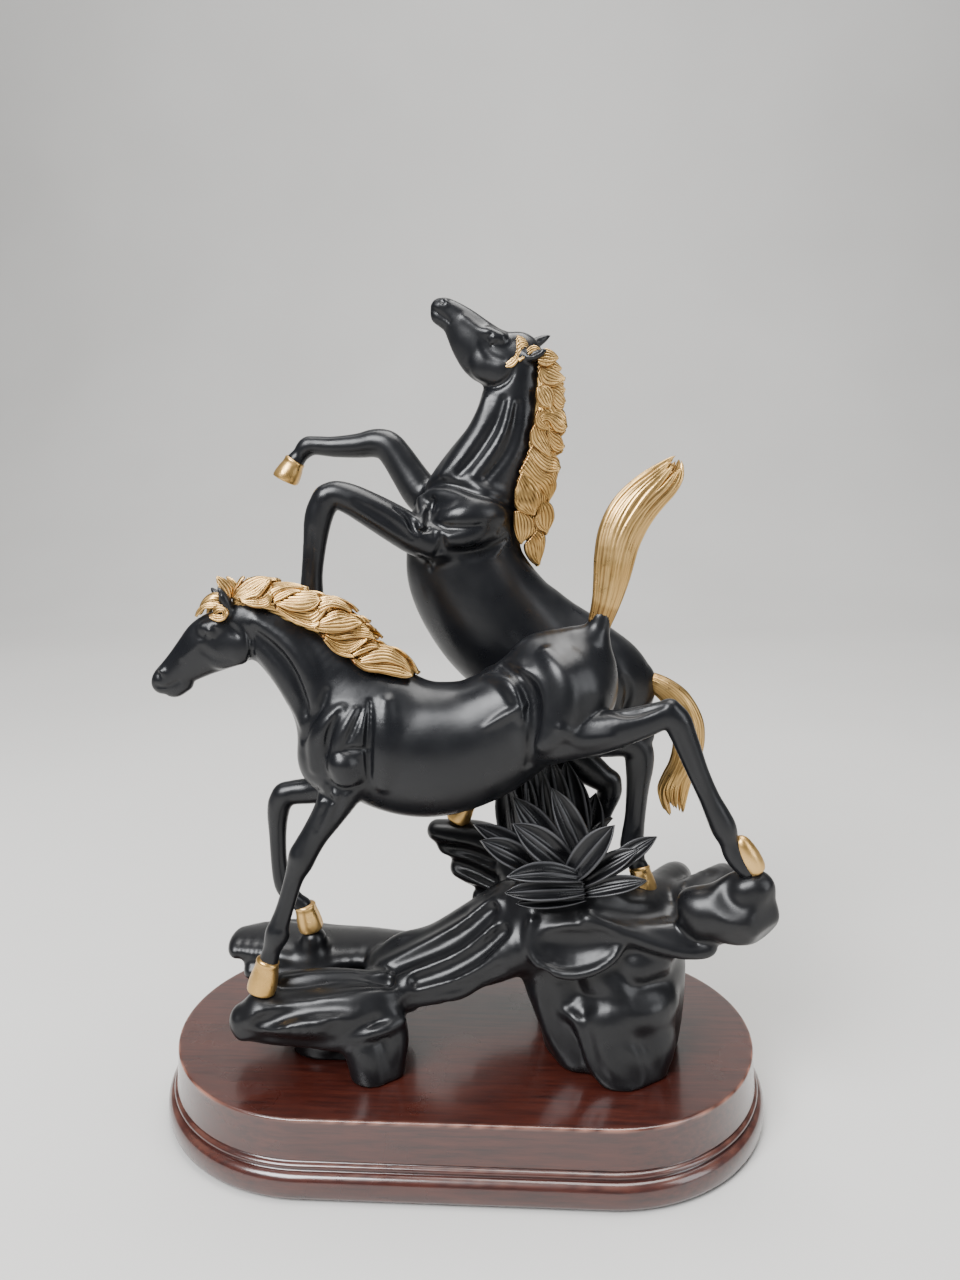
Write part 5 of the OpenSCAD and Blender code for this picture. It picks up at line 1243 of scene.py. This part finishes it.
# ------------------------------------------------------------------ plinth
def plinth():
    """An oval plinth: its profile is swept round a straight-sided path with round ends."""
    half_l, half_w = (plinth_hi[0] - plinth_lo[0]) / 2, (plinth_hi[1] - plinth_lo[1]) / 2
    z0, z1 = float(plinth_lo[2]), float(plinth_hi[2])
    mm = 0.001
    foot = 4 * mm
    high = (z1 - z0) / (22 * mm)
    straight = half_l - half_w
    # distance inside the foot's edge and height, both in millimetres, then how strong the pale edge line is,
    # partly wear and partly a painted highlight
    profile = [(20, 22.0, 0), (9, 22.0, 0), (5.6, 22.0, 0), (4.7, 22.0, 0.1), (4.3, 21.94, 0.75),
               (4.06, 21.72, 1),
               (3.98, 21.4, 0.5), (3.95, 20.8, 0), (3.75, 18, 0), (3.4, 14, 0), (3.1, 11.2, 0),
               (2.98, 10.5, 0),
               (2.95, 10.25, 0.3), (3.3, 10.1, 0), (3.5, 9.9, 0), (3.45, 9.7, 0), (2.9, 9.5, 0.25),
               (2.35, 9.25, 0.2),
               (2.05, 8.8, 0), (2.1, 8.3, 0), (2.4, 7.9, 0), (2.75, 7.7, 0), (2.8, 7.5, 0), (2.3, 7.35, 0),
               (1.6, 7.1, 0.2),
               (0.95, 6.6, 0.15), (0.45, 5.8, 0), (0.15, 4.8, 0), (0.02, 3.6, 0), (0.0, 2.4, 0),
               (0.05, 1.2, 0),
               (0.25, 0.45, 0), (0.7, 0.08, 0), (1.4, 0.0, 0), (9, 0.0, 0)]
    arc, line = 64, 28
    path = []
    for sx, start in ((1, -90), (-1, 90)):
        for a in np.linspace(start, start + 180, arc):
            path.append((sx * straight, math.cos(math.radians(a)), math.sin(math.radians(a))))
        for s in np.linspace(0, 1, line)[1:-1]:
            path.append((sx * straight * (1 - 2 * s), math.cos(math.radians(start + 180)),
                         math.sin(math.radians(start + 180))))
    verts, wear_and_highlight = [], []
    for inset, z, w in profile:
        r = half_w - inset * mm
        for cx, c, s in path:
            verts.append((cx + r * c, r * s, z0 + z * mm * high))
            # Pale edge line, partly wear and partly a painted highlight, varied along the path.
            wear_and_highlight.append(w * (0.55 + 0.45 * math.sin(cx * 900 + 37 * s + 11 * c)))
    n = len(path)
    faces = [tuple(reversed(f)) for f in tube_faces(len(profile), n)]
    faces.append(tuple(range(n)))
    faces.append(tuple((len(profile) - 1) * n + k for k in range(n - 1, -1, -1)))
    return make_piece("Plinth", verts, faces, WOOD, "lacquered_wood", ["plinth"], [("wear_and_highlight", wear_and_highlight)],
                      place=False)


plinth()
for node, mat in (("felt_pads", FELT), ("plinth_screws", STEEL), ("screw_washers", STEEL),
                  ("front_tail_pin", STEEL),
                  ("rear_tail_pin", STEEL), ("front_leg_pins", STEEL), ("rear_leg_pins", STEEL)):
    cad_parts[node].material_slots[0].material = mat


# ------------------------------------------------------------------ camera, light and floor
def add_light(name, place, aim, size, power, colour):
    data = bpy.data.lights.new(name, "AREA")
    data.shape, data.size, data.size_y = "RECTANGLE", size[0], size[1]
    data.energy, data.color = power, colour
    obj = bpy.data.objects.new(name, data)
    obj.location = place
    d = np.array(aim, float) - place
    obj.rotation_euler = (math.acos(-d[2] / np.linalg.norm(d)), 0, math.atan2(-d[0], d[1]))
    bpy.context.scene.collection.objects.link(obj)


def add_floor():
    """A pale floor that curves up into a backdrop behind."""
    reach, back, bend, top = 4.0, 1.5, 0.7, 3.2
    mat, tree, shader = new_material("PaleFloor", (0.62, 0.61, 0.59), 0.6)
    tone = ramp(tree, noise(tree, 3, detail=3), [(0.3, (0.56, 0.55, 0.53)), (0.7, (0.61, 0.60, 0.58))])
    link(tree, tone, shader.inputs["Base Color"])
    outline = [(-reach, 0.0), (-1.0, 0.0), (back - bend, 0.0)]
    outline += [(back - bend + bend * math.sin(a), bend - bend * math.cos(a)) for a in np.linspace(0.05,
            np.pi / 2, 24)]
    outline.append((back, top))
    verts = [(x, y, z) for y, z in outline for x in (-reach, reach)]
    faces = [(2 * i, 2 * i + 1, 2 * i + 3, 2 * i + 2) for i in range(len(outline) - 1)]
    mesh = bpy.data.meshes.new("Floor")
    mesh.from_pydata(verts, [], faces)
    mesh.polygons.foreach_set("use_smooth", np.ones(len(faces), bool))
    mesh.materials.append(mat)
    obj = bpy.data.objects.new("Floor", mesh)
    bpy.context.scene.collection.objects.link(obj)


def add_camera():
    data = bpy.data.cameras.new("Camera")
    image_height, focal_px, sensor = 1280, 963, 36.0
    data.sensor_fit, data.sensor_width, data.lens = "AUTO", sensor, focal_px / image_height * sensor
    data.clip_start = 0.01
    obj = bpy.data.objects.new("Camera", data)
    yaw, pitch, roll = (math.radians(v) for v in (3.3, -11.0, -0.4))
    right = np.array([math.cos(yaw), math.sin(yaw), 0])
    ahead = np.array([-math.sin(yaw) * math.cos(pitch), math.cos(yaw) * math.cos(pitch), math.sin(pitch)])
    up = np.cross(right, ahead)
    right, up = math.cos(roll) * right + math.sin(roll) * up, math.cos(roll) * up - math.sin(roll) * right
    turn = Matrix((right, up, -ahead)).transposed().to_4x4()
    turn.translation = (0.022, -0.278, 0.202)
    obj.matrix_world = turn
    bpy.context.scene.collection.objects.link(obj)
    bpy.context.scene.camera = obj


def add_world():
    world = bpy.data.worlds.new("Studio")
    world.use_nodes = True
    world.node_tree.nodes["Background"].inputs["Color"].default_value = (0.84, 0.87, 0.92, 1)
    world.node_tree.nodes["Background"].inputs["Strength"].default_value = 0.20
    bpy.context.scene.world = world


add_floor()
add_world()
add_camera()
MIDDLE = (0, 0, 0.12)
for lamp in (("KeySoftbox", (-0.42, -0.62, 0.80), MIDDLE, (0.5, 0.5), 22, (0.97, 0.98, 1.0)),
             ("TopSoftbox", (0.15, 0.10, 1.15), MIDDLE, (0.8, 0.6), 15, (1.0, 0.99, 0.97)),
             ("FillCard", (0.8, -0.5, 0.45), MIDDLE, (0.35, 0.7), 4, (0.95, 0.97, 1.0)),
             ("BackdropWash", (0.0, 0.5, 1.6), (0, 1.4, 0.6), (2.0, 0.6), 18, (1.0, 1.0, 1.0))):
    add_light(*lamp)
